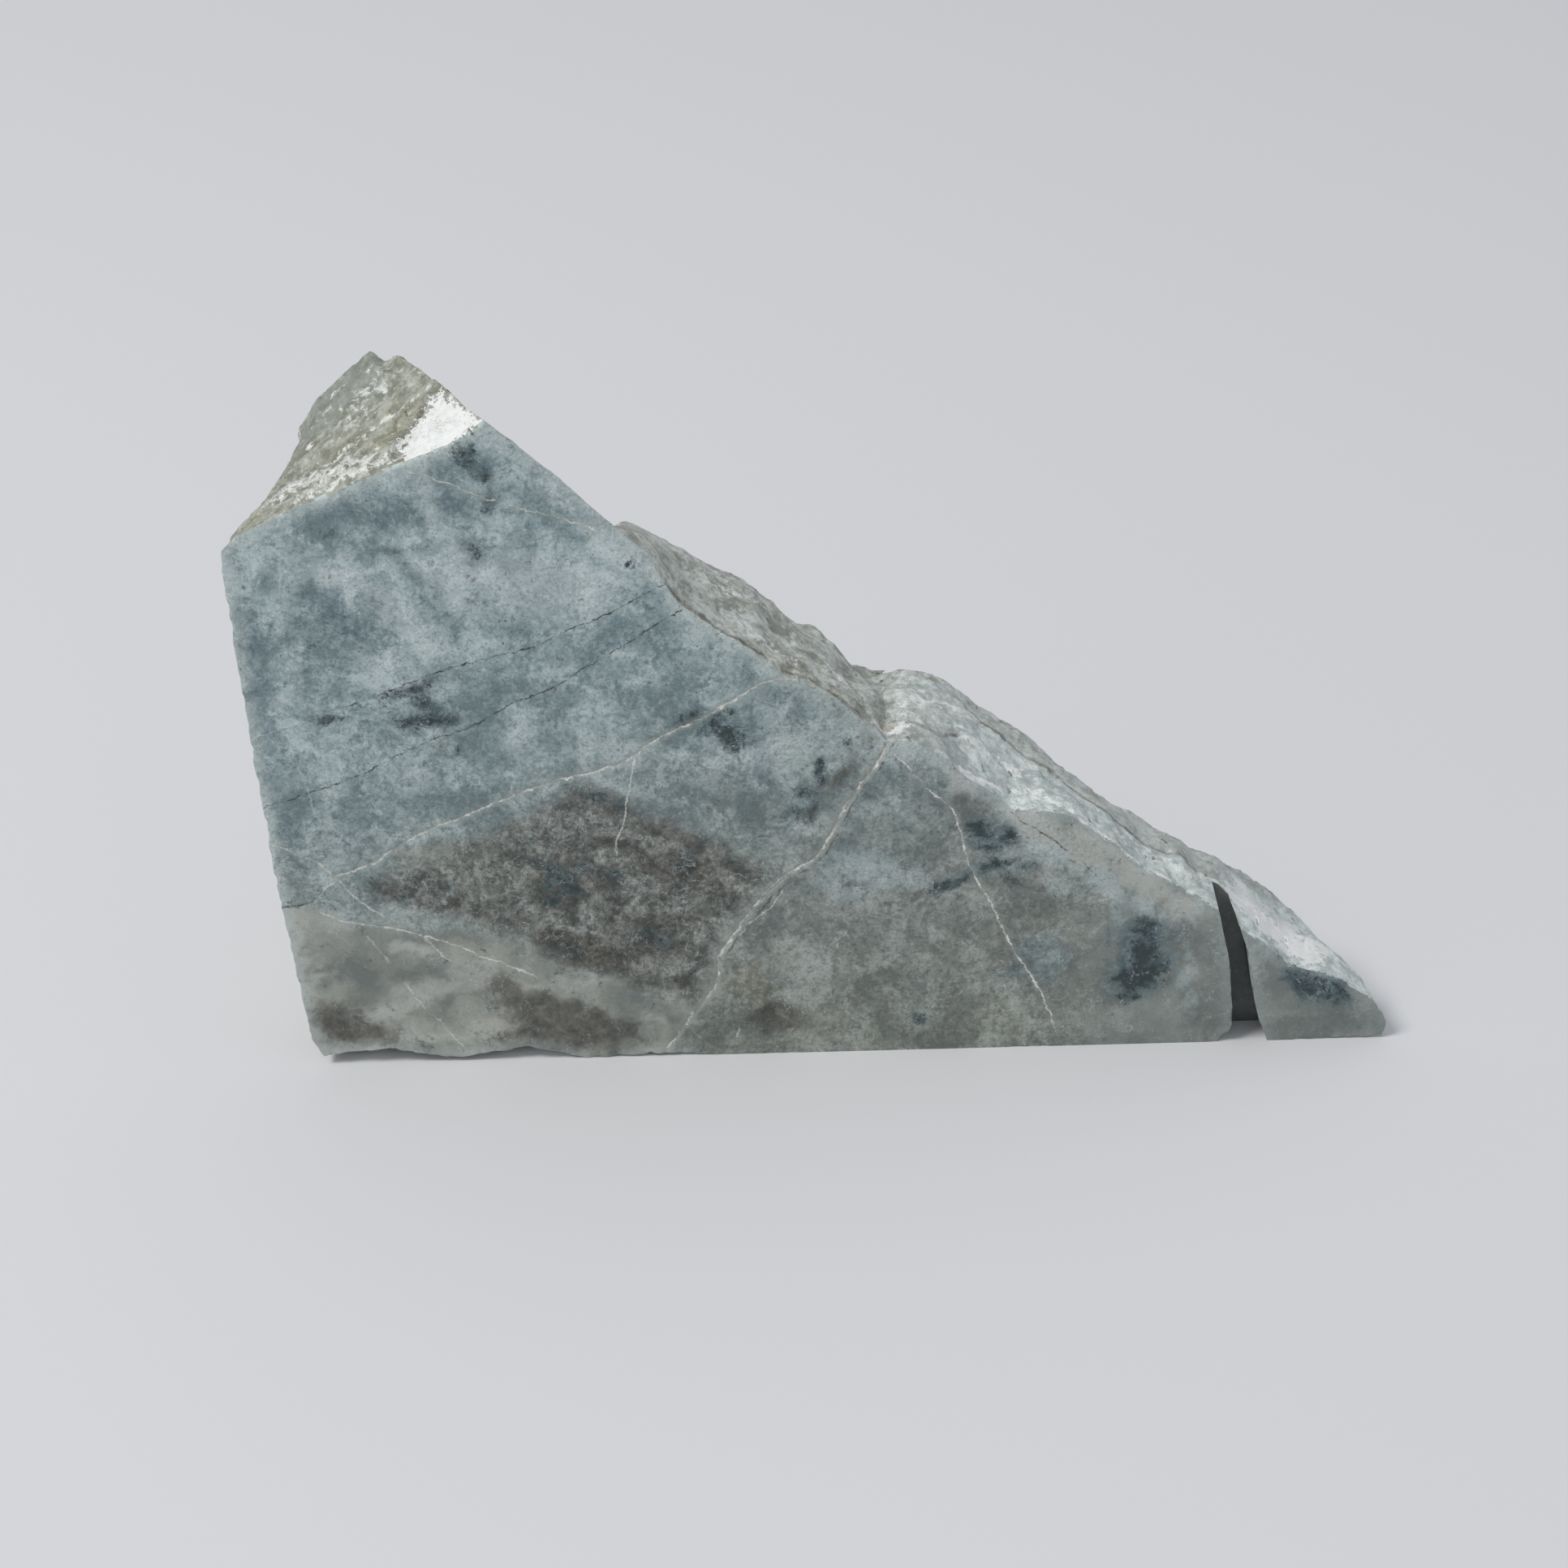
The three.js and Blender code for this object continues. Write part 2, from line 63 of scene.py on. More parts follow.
# Cracks and veins on the sawn face, as x and z in mm. Those that run across are drawn as z
# along x, the steep ones as x along z.
veins = {
    "topLight": drawnLine(0.05, 0.8, across=True, halo=0.3, points=[
        (9.5, 34.5), (11.1, 33.9), (13.1, 33.0), (15.3, 32.2), (17.0, 31.7), (18.9, 30.9)]),
    "upperHairline": drawnLine(0.05, 1.0, across=True, dark=True, depth=0.03, points=[
        (3.5, 20.8), (5.7, 21.6), (8.0, 22.4), (10.4, 23.4), (13.0, 24.1), (15.0, 24.6), (17.4, 25.7),
        (18.8, 26.3), (20.5, 27.2), (22.0, 28.0)]),
    "upperPale": drawnLine(0.06, 0.4, across=True, points=[
        (0.5, 19.7), (2.0, 20.3), (3.5, 20.8), (5.7, 21.6)]),
    "lowerHairline": drawnLine(0.05, 0.95, across=True, dark=True, depth=0.03, points=[
        (0.9, 15.8), (3.4, 16.6), (5.8, 17.5), (8.9, 19.1), (12.2, 20.4), (13.9, 21.4), (16.1, 22.3),
        (17.9, 23.5), (19.5, 24.4), (21.1, 25.5), (22.9, 26.6)]),
    "mainAcross": drawnLine(0.06, 0.9, across=True, depth=0.04, halo=0.45, points=[
        (4.2, 11.6), (6.1, 12.2), (7.3, 13.0), (9.1, 14.1), (11.2, 15.0), (13.2, 15.9), (15.8, 16.9),
        (17.5, 17.3), (19.5, 17.9), (21.1, 19.1), (23.4, 20.3), (25.3, 21.4), (26.8, 22.3), (28.4, 22.5)]),
    "dropFromMain": drawnLine(0.05, 0.7, depth=0.025, points=[
        (20.1, 18.3), (19.9, 17.1), (19.6, 15.6), (19.4, 14.4), (19.0, 13.3), (19.0, 12.0)]),
    "greatCrack": drawnLine(0.075, 1.0, depth=0.07, halo=0.55, points=[
        (33.1, 18.7), (32.4, 17.4), (31.5, 16.1), (30.4, 14.1), (29.8, 12.8), (29.2, 12.0), (28.3, 11.4),
        (27.2, 10.5), (26.1, 9.3), (25.5, 8.4), (24.9, 7.4), (24.2, 6.3), (24.0, 4.9), (23.8, 4.2),
        (23.1, 3.2), (21.9, 1.5), (21.1, 0.3)]),
    "crackShadow": drawnLine(0.045, 0.7, dark=True, points=[
        (33.4, 18.7), (32.7, 17.4), (31.8, 16.1), (30.7, 14.1), (30.1, 12.8), (29.5, 11.9), (28.6, 11.2),
        (27.5, 10.2), (26.4, 9.0), (25.8, 8.1), (25.1, 7.2), (24.45, 6.1)]),
    "crackSecond": drawnLine(0.06, 0.6, points=[
        (27.6, 10.2), (27.1, 9.4), (26.4, 8.7), (25.7, 8.1), (25.2, 7.3)]),
    "rightWhite": drawnLine(0.055, 0.95, depth=0.04, halo=0.25, points=[
        (33.3, 18.1), (34.5, 16.7), (35.5, 15.5), (36.2, 14.9), (36.6, 14.0), (37.1, 11.9), (37.6, 10.5),
        (38.2, 9.4), (39.5, 6.4), (41.1, 3.4), (41.7, 1.8), (42.1, 0.6)]),
    "rightHairline": drawnLine(0.05, 0.8, across=True, dark=True, depth=0.03, points=[
        (39.3, 14.5), (41.7, 12.6), (42.8, 11.7), (43.7, 10.7), (44.3, 10.1)]),
    "leftPale": drawnLine(0.055, 0.6, across=True, depth=0.02, halo=0.2, points=[
        (1.1, 13.6), (2.7, 12.9), (3.7, 12.2), (4.4, 11.5), (5.2, 10.4), (6.0, 9.6), (6.8, 9.1)]),
    "milkEdge": drawnLine(0.06, 0.8, across=True, depth=0.025, halo=0.3, points=[
        (3.1, 9.8), (3.6, 9.4), (4.9, 8.8), (6.1, 8.6), (7.5, 8.3), (8.6, 7.9), (10.4, 7.2), (11.7, 6.5),
        (13.1, 5.9), (14.4, 5.2)]),
    "milkBranch": drawnLine(0.06, 0.5, across=True, points=[(8.6, 7.9), (9.1, 7.3), (10.1, 6.2)]),
    "leftStep": drawnLine(0.07, 0.8, across=True, dark=True, depth=0.08, points=[
        (1.2, 9.8), (2.4, 9.9), (3.1, 10.1)]),
    "leftJoin": drawnLine(0.08, 0.6, points=[(4.4, 11.4), (3.7, 10.8), (3.3, 10.3), (3.1, 9.9)]),
    "lowHairline": drawnLine(0.05, 0.55, points=[
        (7.5, 5.0), (8.4, 3.5), (9.2, 2.6), (10.0, 1.4), (10.4, 0.8)]),
    "lowHairlineTwo": drawnLine(0.045, 0.4, points=[(5.6, 8.3), (6.2, 7.2), (6.8, 6.3)]),
    "leftRise": drawnLine(0.07, 0.35, points=[
        (2.5, 20.1), (2.9, 18.2), (3.3, 16.8), (3.6, 15.3), (4.2, 14.1)]),
    "footCrack": drawnLine(0.07, 0.6, points=[(25.1, 1.8), (24.8, 0.9), (24.3, 0.2)]),
}

# Two large fields on the sawn face, as outlines in mm: the stained one between the veins and
# the cloudy, clearer one under it
fields = {
    "brown": [
        (5.2, 10.9), (6.7, 11.6), (8.0, 12.4), (9.8, 13.3), (11.9, 14.2), (13.9, 15.1), (15.3, 16.0),
        (16.6, 16.6), (17.7, 16.4), (19.7, 15.4), (22.0, 14.6), (23.8, 13.5), (25.7, 12.5), (27.6, 11.5),
        (27.0, 10.5), (26.1, 9.3), (25.3, 8.4), (24.7, 7.4), (24.0, 6.3), (23.8, 4.9), (23.6, 4.2),
        (22.9, 2.9), (19.9, 4.3), (17.8, 5.3), (15.3, 6.4), (13.2, 7.5), (10.7, 8.6), (8.6, 8.9),
        (5.6, 10.2)],
    "milk": [
        (1.2, 9.9), (3.1, 10.0), (4.9, 8.8), (7.5, 8.3), (8.6, 7.9), (10.7, 8.4), (13.2, 7.4), (15.3, 6.3),
        (17.8, 5.2), (19.9, 4.2), (22.9, 2.8), (21.9, 1.5), (21.1, -0.5), (1.8, -0.5), (1.0, 5.0)],
}

# Smaller stained and cloudy places: middle x and z, reach along and across, turn in degrees, strength
dabs = {
    "deepBrown": [
        (16.2, 10.9, 2.2, 2.0, -35, 1.0), (13.6, 12.3, 2.4, 1.0, 20, 0.5), (18.3, 15.9, 2.4, 0.9, -25, 0.9),
        (22.0, 13.6, 4.2, 0.9, -26, 0.75), (22.2, 11.6, 3.2, 1.1, -10, 0.95),
        (19.2, 13.2, 1.8, 1.0, -25, 0.7), (17.0, 6.6, 4.2, 1.1, -24, 1.15), (13.2, 8.5, 2.4, 0.8, -20, 0.8),
        (20.6, 7.3, 2.4, 1.5, -25, 0.85), (23.6, 9.6, 1.6, 2.6, -30, 0.5), (10.2, 9.6, 2.0, 0.6, -10, 0.6),
        (7.4, 10.6, 1.6, 0.6, -15, 0.6), (22.3, 4.6, 1.2, 0.8, -20, 0.6), (16.0, 2.5, 4.0, 1.3, -22, 1.5),
        (13.2, 3.9, 2.0, 1.0, -40, 1.2), (14.6, 1.0, 2.8, 0.9, -5, 1.3), (4.6, 2.3, 2.9, 1.0, -22, 1.4),
        (3.3, 3.4, 1.2, 0.5, -35, 0.8), (4.6, 1.4, 2.4, 0.4, 0, 0.6), (28.9, 14.6, 1.0, 0.4, 55, 0.8),
        (30.6, 16.8, 2.4, 0.5, 52, 0.9), (27.0, 14.5, 2.0, 1.0, 20, 0.45), (10.9, 19.2, 1.5, 0.9, 10, 0.35),
        (24.4, 16.2, 0.7, 1.8, 30, 0.35), (37.0, 14.6, 1.6, 1.2, -30, 0.5), (27.2, 2.2, 2.0, 1.1, -10, 1.1),
        (30.4, 9.2, 1.7, 0.8, -25, 0.35), (37.2, 5.2, 0.6, 0.4, 0, 0.6)],
    "pale": [
        (13.6, 29.0, 4.2, 1.6, -8, 0.8), (17.2, 28.1, 2.6, 1.6, -30, 0.75), (10.6, 32.6, 0.6, 2.6, 14, 0.6),
        (8.3, 27.0, 2.6, 0.8, -48, 0.8), (5.7, 29.0, 2.0, 0.9, -30, 0.65), (3.3, 29.3, 0.7, 2.2, 0, 0.45),
        (15.1, 27.2, 3.0, 1.2, -20, 0.7), (11.6, 27.6, 2.6, 1.0, -30, 0.6),
        (19.0, 30.4, 2.6, 0.8, -42, 0.7), (2.5, 22.0, 1.4, 0.5, 0, 0.4), (7.6, 23.9, 3.0, 0.6, -30, 0.55),
        (10.4, 25.0, 1.4, 1.6, 0, 0.5), (14.0, 36.0, 1.4, 0.6, -40, 0.4), (15.9, 33.4, 2.6, 0.5, -42, 0.5),
        (11.0, 13.0, 0.8, 0.6, 0, 0.3), (26.4, 18.2, 2.0, 0.8, 20, 0.45), (24.0, 17.3, 1.4, 0.6, 20, 0.4),
        (27.2, 20.6, 1.8, 0.8, -35, 0.4), (29.5, 19.2, 1.3, 0.8, -35, 0.5),
        (32.2, 11.3, 3.0, 1.3, -15, 0.6), (30.4, 10.0, 2.2, 0.9, -15, 0.45),
        (35.2, 17.6, 2.2, 0.5, -42, 0.55), (40.4, 13.9, 1.7, 0.5, -35, 0.6),
        (39.2, 14.5, 0.9, 0.4, -30, 0.55), (42.2, 9.8, 1.4, 0.6, -20, 0.4),
        (40.6, 11.9, 0.9, 0.4, -10, 0.35), (35.4, 7.2, 1.0, 0.6, 0, 0.3), (44.3, 8.6, 2.0, 0.6, -35, 0.3),
        (49.0, 8.0, 0.7, 1.6, -20, 0.35), (44.8, 1.0, 2.6, 0.3, 5, 0.2), (53.4, 5.2, 1.4, 0.4, -45, 0.3),
        (8.0, 17.0, 2.2, 0.5, 20, 0.3), (15.6, 19.9, 3.2, 0.6, 22, 0.35), (29.0, 5.0, 1.8, 0.8, 0, 0.25),
        (41.6, 12.2, 2.6, 0.9, -35, 0.6), (44.2, 10.2, 2.2, 0.8, -36, 0.55),
        (46.8, 8.4, 1.8, 0.6, -38, 0.5), (48.9, 4.0, 0.6, 2.6, 0, 0.4), (52.9, 5.6, 0.8, 1.8, -20, 0.4),
        (44.6, 7.4, 1.2, 0.3, 20, 0.4)],
    "slate": [
        (8.7, 32.0, 1.6, 1.2, 10, 0.9), (8.3, 29.9, 1.9, 1.0, -30, 0.85), (9.2, 28.9, 1.2, 0.6, -35, 0.7),
        (11.7, 32.4, 0.9, 1.1, 0, 0.85), (12.6, 30.3, 1.1, 0.9, -20, 0.75), (13.4, 32.6, 0.8, 0.8, 0, 0.7),
        (5.6, 26.6, 2.3, 1.25, -42, 1.0), (4.6, 27.8, 1.2, 0.9, -30, 0.8), (2.1, 28.7, 1.1, 0.9, 10, 0.8),
        (1.6, 24.9, 1.0, 1.3, 0, 0.75), (4.0, 23.7, 0.6, 0.5, 0, 0.75), (5.3, 22.4, 0.6, 0.45, 0, 0.65),
        (1.4, 22.8, 0.8, 0.8, 0, 0.5), (11.7, 34.9, 0.8, 0.7, 0, 0.8), (12.9, 35.0, 1.4, 0.9, -45, 0.9),
        (16.6, 31.4, 1.7, 0.6, -30, 0.55), (19.3, 28.9, 0.9, 0.5, -20, 0.5), (5.6, 31.3, 1.8, 0.5, 15, 0.4),
        (9.6, 21.0, 2.2, 0.9, 5, 0.9), (9.6, 22.6, 2.6, 0.7, 18, 0.6), (15.8, 24.0, 2.4, 0.7, 15, 0.5),
        (11.8, 23.2, 1.2, 0.6, 0, 0.5), (19.8, 22.0, 1.4, 1.2, 15, 0.5), (22.2, 22.8, 1.2, 0.8, 0, 0.4),
        (13.2, 18.5, 2.0, 1.0, 10, 0.65), (1.9, 19.3, 0.9, 1.0, 0, 0.5), (4.4, 18.9, 1.0, 0.7, 0, 0.4),
        (7.6, 15.6, 1.4, 0.5, 20, 0.35), (19.6, 20.4, 1.7, 0.6, 20, 0.35),
        (24.6, 19.9, 2.4, 1.2, -15, 0.95), (26.6, 17.3, 1.6, 1.4, 10, 0.45),
        (28.6, 15.0, 2.3, 1.3, 35, 0.75), (25.3, 15.2, 1.6, 0.7, 30, 0.4), (31.9, 15.4, 0.9, 1.6, 10, 0.5),
        (33.2, 17.0, 1.0, 0.5, -40, 0.55), (34.0, 13.4, 1.2, 0.9, 0, 0.3), (38.4, 13.0, 1.9, 1.1, -20, 0.9),
        (36.6, 10.4, 2.1, 0.6, 25, 0.75), (39.0, 11.3, 1.9, 0.8, 10, 0.8), (30.6, 8.2, 1.6, 0.6, -15, 0.35),
        (40.9, 5.2, 2.2, 1.9, 20, 0.8), (42.8, 6.6, 1.6, 0.7, -10, 0.45), (45.6, 3.6, 1.9, 0.7, 0, 0.75),
        (46.4, 5.6, 1.7, 2.6, 4, 1.2), (43.9, 4.0, 0.9, 0.5, 0, 0.5), (47.8, 4.2, 0.8, 0.9, 0, 0.5),
        (34.7, 2.2, 0.8, 0.5, 0, 0.5), (35.2, 4.8, 0.9, 0.4, 0, 0.4), (41.0, 1.0, 1.2, 0.4, 0, 0.35),
        (55.8, 3.5, 2.2, 1.1, -24, 1.3), (56.9, 2.8, 1.3, 0.8, -20, 1.2), (49.8, 5.6, 0.6, 1.4, 0, 0.3),
        (9.5, 12.5, 1.2, 0.8, 20, 0.4), (11.5, 11.4, 1.0, 0.7, 0, 0.35), (13.4, 13.6, 2.2, 0.6, 24, 0.4),
        (17.6, 9.4, 0.9, 0.6, 0, 0.3), (20.6, 11.9, 0.8, 0.4, 0, 0.35), (20.8, 9.3, 0.9, 0.5, 0, 0.3),
        (5.5, 7.4, 1.9, 0.6, -20, 0.45), (4.8, 5.4, 0.9, 0.4, -20, 0.35), (19.8, 3.3, 1.4, 0.6, -24, 0.4),
        (16.4, 5.3, 1.9, 0.6, -22, 0.45), (24.2, 1.4, 1.2, 0.6, 10, 0.4), (6.9, 14.2, 1.2, 0.5, 20, 0.3)],
    "spots": [
        (9.2, 12.6, 1.9, 1.0, 22, 1.2), (11.6, 12.9, 1.5, 0.9, 10, 1.3), (11.8, 10.9, 1.4, 1.1, -20, 1.1),
        (14.0, 11.0, 0.9, 1.1, 20, 0.9), (17.8, 9.3, 0.8, 0.6, 0, 0.8), (20.6, 11.8, 0.8, 0.4, 0, 0.7),
        (20.7, 9.2, 0.9, 0.4, 0, 0.6), (23.2, 9.0, 0.6, 1.2, -20, 0.5), (13.5, 14.2, 1.6, 0.5, 20, 0.6),
        (17.2, 13.6, 1.2, 0.8, 0, 0.5), (7.2, 11.6, 0.9, 0.4, 10, 0.6), (12.6, 9.6, 1.0, 0.4, -10, 0.6),
        (18.6, 13.2, 0.5, 0.6, 0, 0.3), (22.0, 5.9, 0.8, 0.5, -20, 0.4), (6.4, 8.9, 1.4, 0.4, -12, 0.4)],
    "ink": [
        (8.7, 22.3, 1.5, 0.35, 20, 1.0), (9.0, 20.6, 1.1, 0.5, -8, 1.0), (10.3, 20.7, 1.1, 0.35, 0, 1.0),
        (9.8, 21.6, 0.9, 0.5, -40, 1.0), (7.5, 21.7, 0.5, 0.5, 0, 0.6), (4.9, 20.8, 1.3, 0.25, -6, 0.8),
        (12.4, 35.3, 0.8, 0.55, -50, 0.85), (13.4, 34.2, 0.5, 0.45, -40, 0.9),
        (13.5, 32.6, 0.55, 0.4, 0, 0.85), (12.7, 30.1, 0.5, 0.35, 0, 0.6),
        (12.3, 28.4, 0.4, 0.12, -10, 0.8), (14.9, 28.1, 0.3, 0.12, 0, 0.7), (5.3, 31.1, 0.6, 0.18, 30, 0.5),
        (8.8, 30.1, 0.5, 0.16, 20, 0.45), (13.6, 26.2, 0.5, 0.18, 0, 0.5),
        (22.8, 20.3, 1.0, 0.45, 20, 0.85), (24.6, 19.8, 1.0, 0.5, -20, 1.1),
        (25.2, 19.1, 0.6, 0.65, 30, 1.1), (23.6, 19.5, 0.6, 0.35, 0, 0.7), (24.9, 20.6, 0.7, 0.3, 20, 0.7),
        (16.0, 11.0, 1.0, 0.9, -35, 1.0), (15.3, 11.9, 0.6, 0.5, 0, 0.9), (15.6, 9.8, 0.5, 0.4, 0, 0.85),
        (16.7, 10.3, 0.5, 0.35, 0, 0.85), (17.3, 11.6, 0.7, 0.3, -30, 0.7),
        (18.9, 11.3, 0.5, 0.25, 0, 0.75), (19.8, 10.5, 0.5, 0.2, 0, 0.6), (10.2, 11.0, 0.45, 0.3, 45, 0.75),
        (7.6, 10.2, 0.55, 0.25, 0, 0.85), (6.3, 10.9, 0.4, 0.25, 0, 0.7), (14.6, 13.4, 0.5, 0.25, 0, 0.6),
        (12.7, 8.9, 0.4, 0.25, 0, 0.6), (13.6, 7.9, 0.6, 0.25, 0, 0.7), (16.0, 6.8, 0.9, 0.25, -15, 0.6),
        (18.1, 16.0, 0.8, 0.35, -25, 0.75), (19.4, 15.4, 0.6, 0.25, -25, 0.65),
        (21.2, 7.3, 0.9, 0.5, -15, 0.75), (20.2, 7.8, 0.6, 0.3, 0, 0.6), (22.2, 11.7, 0.7, 0.2, 0, 0.6),
        (22.6, 12.4, 0.4, 0.3, 0, 0.55), (25.1, 11.9, 0.6, 0.15, -15, 0.6),
        (29.5, 17.3, 0.28, 0.65, -15, 1.5), (29.8, 16.6, 0.25, 0.3, 0, 1.0),
        (31.2, 18.6, 0.6, 0.5, 50, 0.75), (28.9, 15.9, 0.8, 0.4, 30, 0.75),
        (28.1, 14.7, 1.0, 0.35, 20, 0.75), (29.0, 14.0, 0.5, 0.4, 30, 0.6), (34.1, 13.4, 0.25, 0.3, 0, 0.6),
        (35.9, 10.0, 1.0, 0.4, 15, 1.1), (36.9, 10.5, 0.7, 0.25, 25, 0.8),
        (38.7, 11.4, 1.1, 0.35, 15, 1.15), (40.4, 11.2, 0.6, 0.3, 0, 1.0), (39.4, 10.4, 0.7, 0.3, -20, 0.8),
        (37.6, 13.5, 1.0, 0.5, -10, 0.95), (39.4, 13.0, 0.5, 0.4, 0, 1.1), (38.3, 12.4, 0.9, 0.3, -20, 0.9),
        (37.2, 5.3, 0.4, 0.12, 10, 0.8), (34.6, 2.1, 0.5, 0.25, -20, 1.0), (35.1, 4.9, 0.3, 0.2, 0, 0.55),
        (46.6, 7.1, 0.6, 0.9, 0, 1.1), (46.5, 5.8, 0.8, 1.3, 0, 1.5), (46.3, 4.2, 1.5, 0.9, 10, 1.5),
        (45.7, 3.0, 0.9, 0.4, 0, 0.9), (44.9, 3.2, 0.6, 0.15, 10, 0.6), (47.6, 3.7, 0.4, 0.3, 0, 0.7),
        (20.3, 29.0, 0.22, 0.13, -25, 1.3), (11.1, 18.8, 0.12, 0.25, 0, 0.9),
        (55.9, 3.3, 1.9, 0.9, -24, 1.05), (46.3, 5.2, 1.6, 2.2, 0, 0.6), (26.0, 13.9, 0.3, 0.2, 0, 0.5),
        (20.9, 15.2, 0.6, 0.2, -25, 0.5), (8.4, 24.9, 0.3, 0.12, 0, 0.4), (17.6, 26.2, 0.4, 0.12, 20, 0.4)],
    "sand": [
        (25.4, 4.7, 1.2, 1.1, 0, 1.4), (26.1, 3.8, 1.2, 0.9, 20, 1.3), (26.0, 7.4, 0.3, 1.4, -25, 0.6),
        (28.9, 12.0, 0.35, 1.4, -35, 0.4), (22.2, 0.7, 0.9, 0.45, 0, 0.7), (40.6, 13.4, 1.6, 0.5, -30, 0.4),
        (22.8, 26.0, 1.2, 0.3, -45, 0.5), (25.6, 24.0, 1.4, 0.3, -32, 0.5),
        (32.2, 19.2, 0.9, 0.35, -45, 0.8), (36.9, 17.1, 0.9, 0.25, -45, 0.6), (42.0, 0.9, 0.5, 0.6, 0, 0.4),
        (0.7, 29.6, 0.6, 0.6, 0, 0.5), (2.6, 11.4, 1.5, 1.2, -30, 0.6), (19.8, 18.0, 0.3, 1.0, 0, 0.5),
        (28.0, 2.6, 1.2, 0.6, 0, 0.3)],
    # glow: a painted glow, paler bands where light seems to shine through the clearer stone, in the milky
    # field and under the chamfer
    "glow": [
        (2.9, 5.6, 1.0, 0.5, 20, 0.8), (8.2, 7.1, 1.7, 0.35, -12, 0.8), (9.0, 4.6, 3.0, 0.8, 10, 0.75),
        (11.4, 5.1, 2.0, 0.8, -20, 0.6), (14.4, 4.5, 1.6, 0.45, -20, 0.6), (2.6, 6.6, 0.9, 0.35, 0, 0.6),
        (17.4, 5.2, 1.6, 0.4, -24, 0.7), (7.0, 3.4, 2.6, 0.6, 20, 0.7), (9.4, 1.6, 2.2, 0.5, 0, 0.7),
        (20.6, 2.4, 1.2, 0.4, -20, 0.6), (2.2, 3.0, 0.35, 0.9, 0, 0.6), (24.5, 0.9, 0.9, 0.3, 30, 0.5),
        (40.6, 13.7, 2.4, 0.8, -36, 1.0), (43.6, 12.0, 2.2, 1.0, -38, 1.2),
        (46.2, 10.2, 2.0, 0.9, -38, 1.1), (48.4, 8.7, 1.3, 0.7, -38, 0.9), (36.8, 16.3, 1.8, 0.6, -40, 0.7),
        (30.6, 20.2, 1.6, 0.4, -36, 0.4)],
}

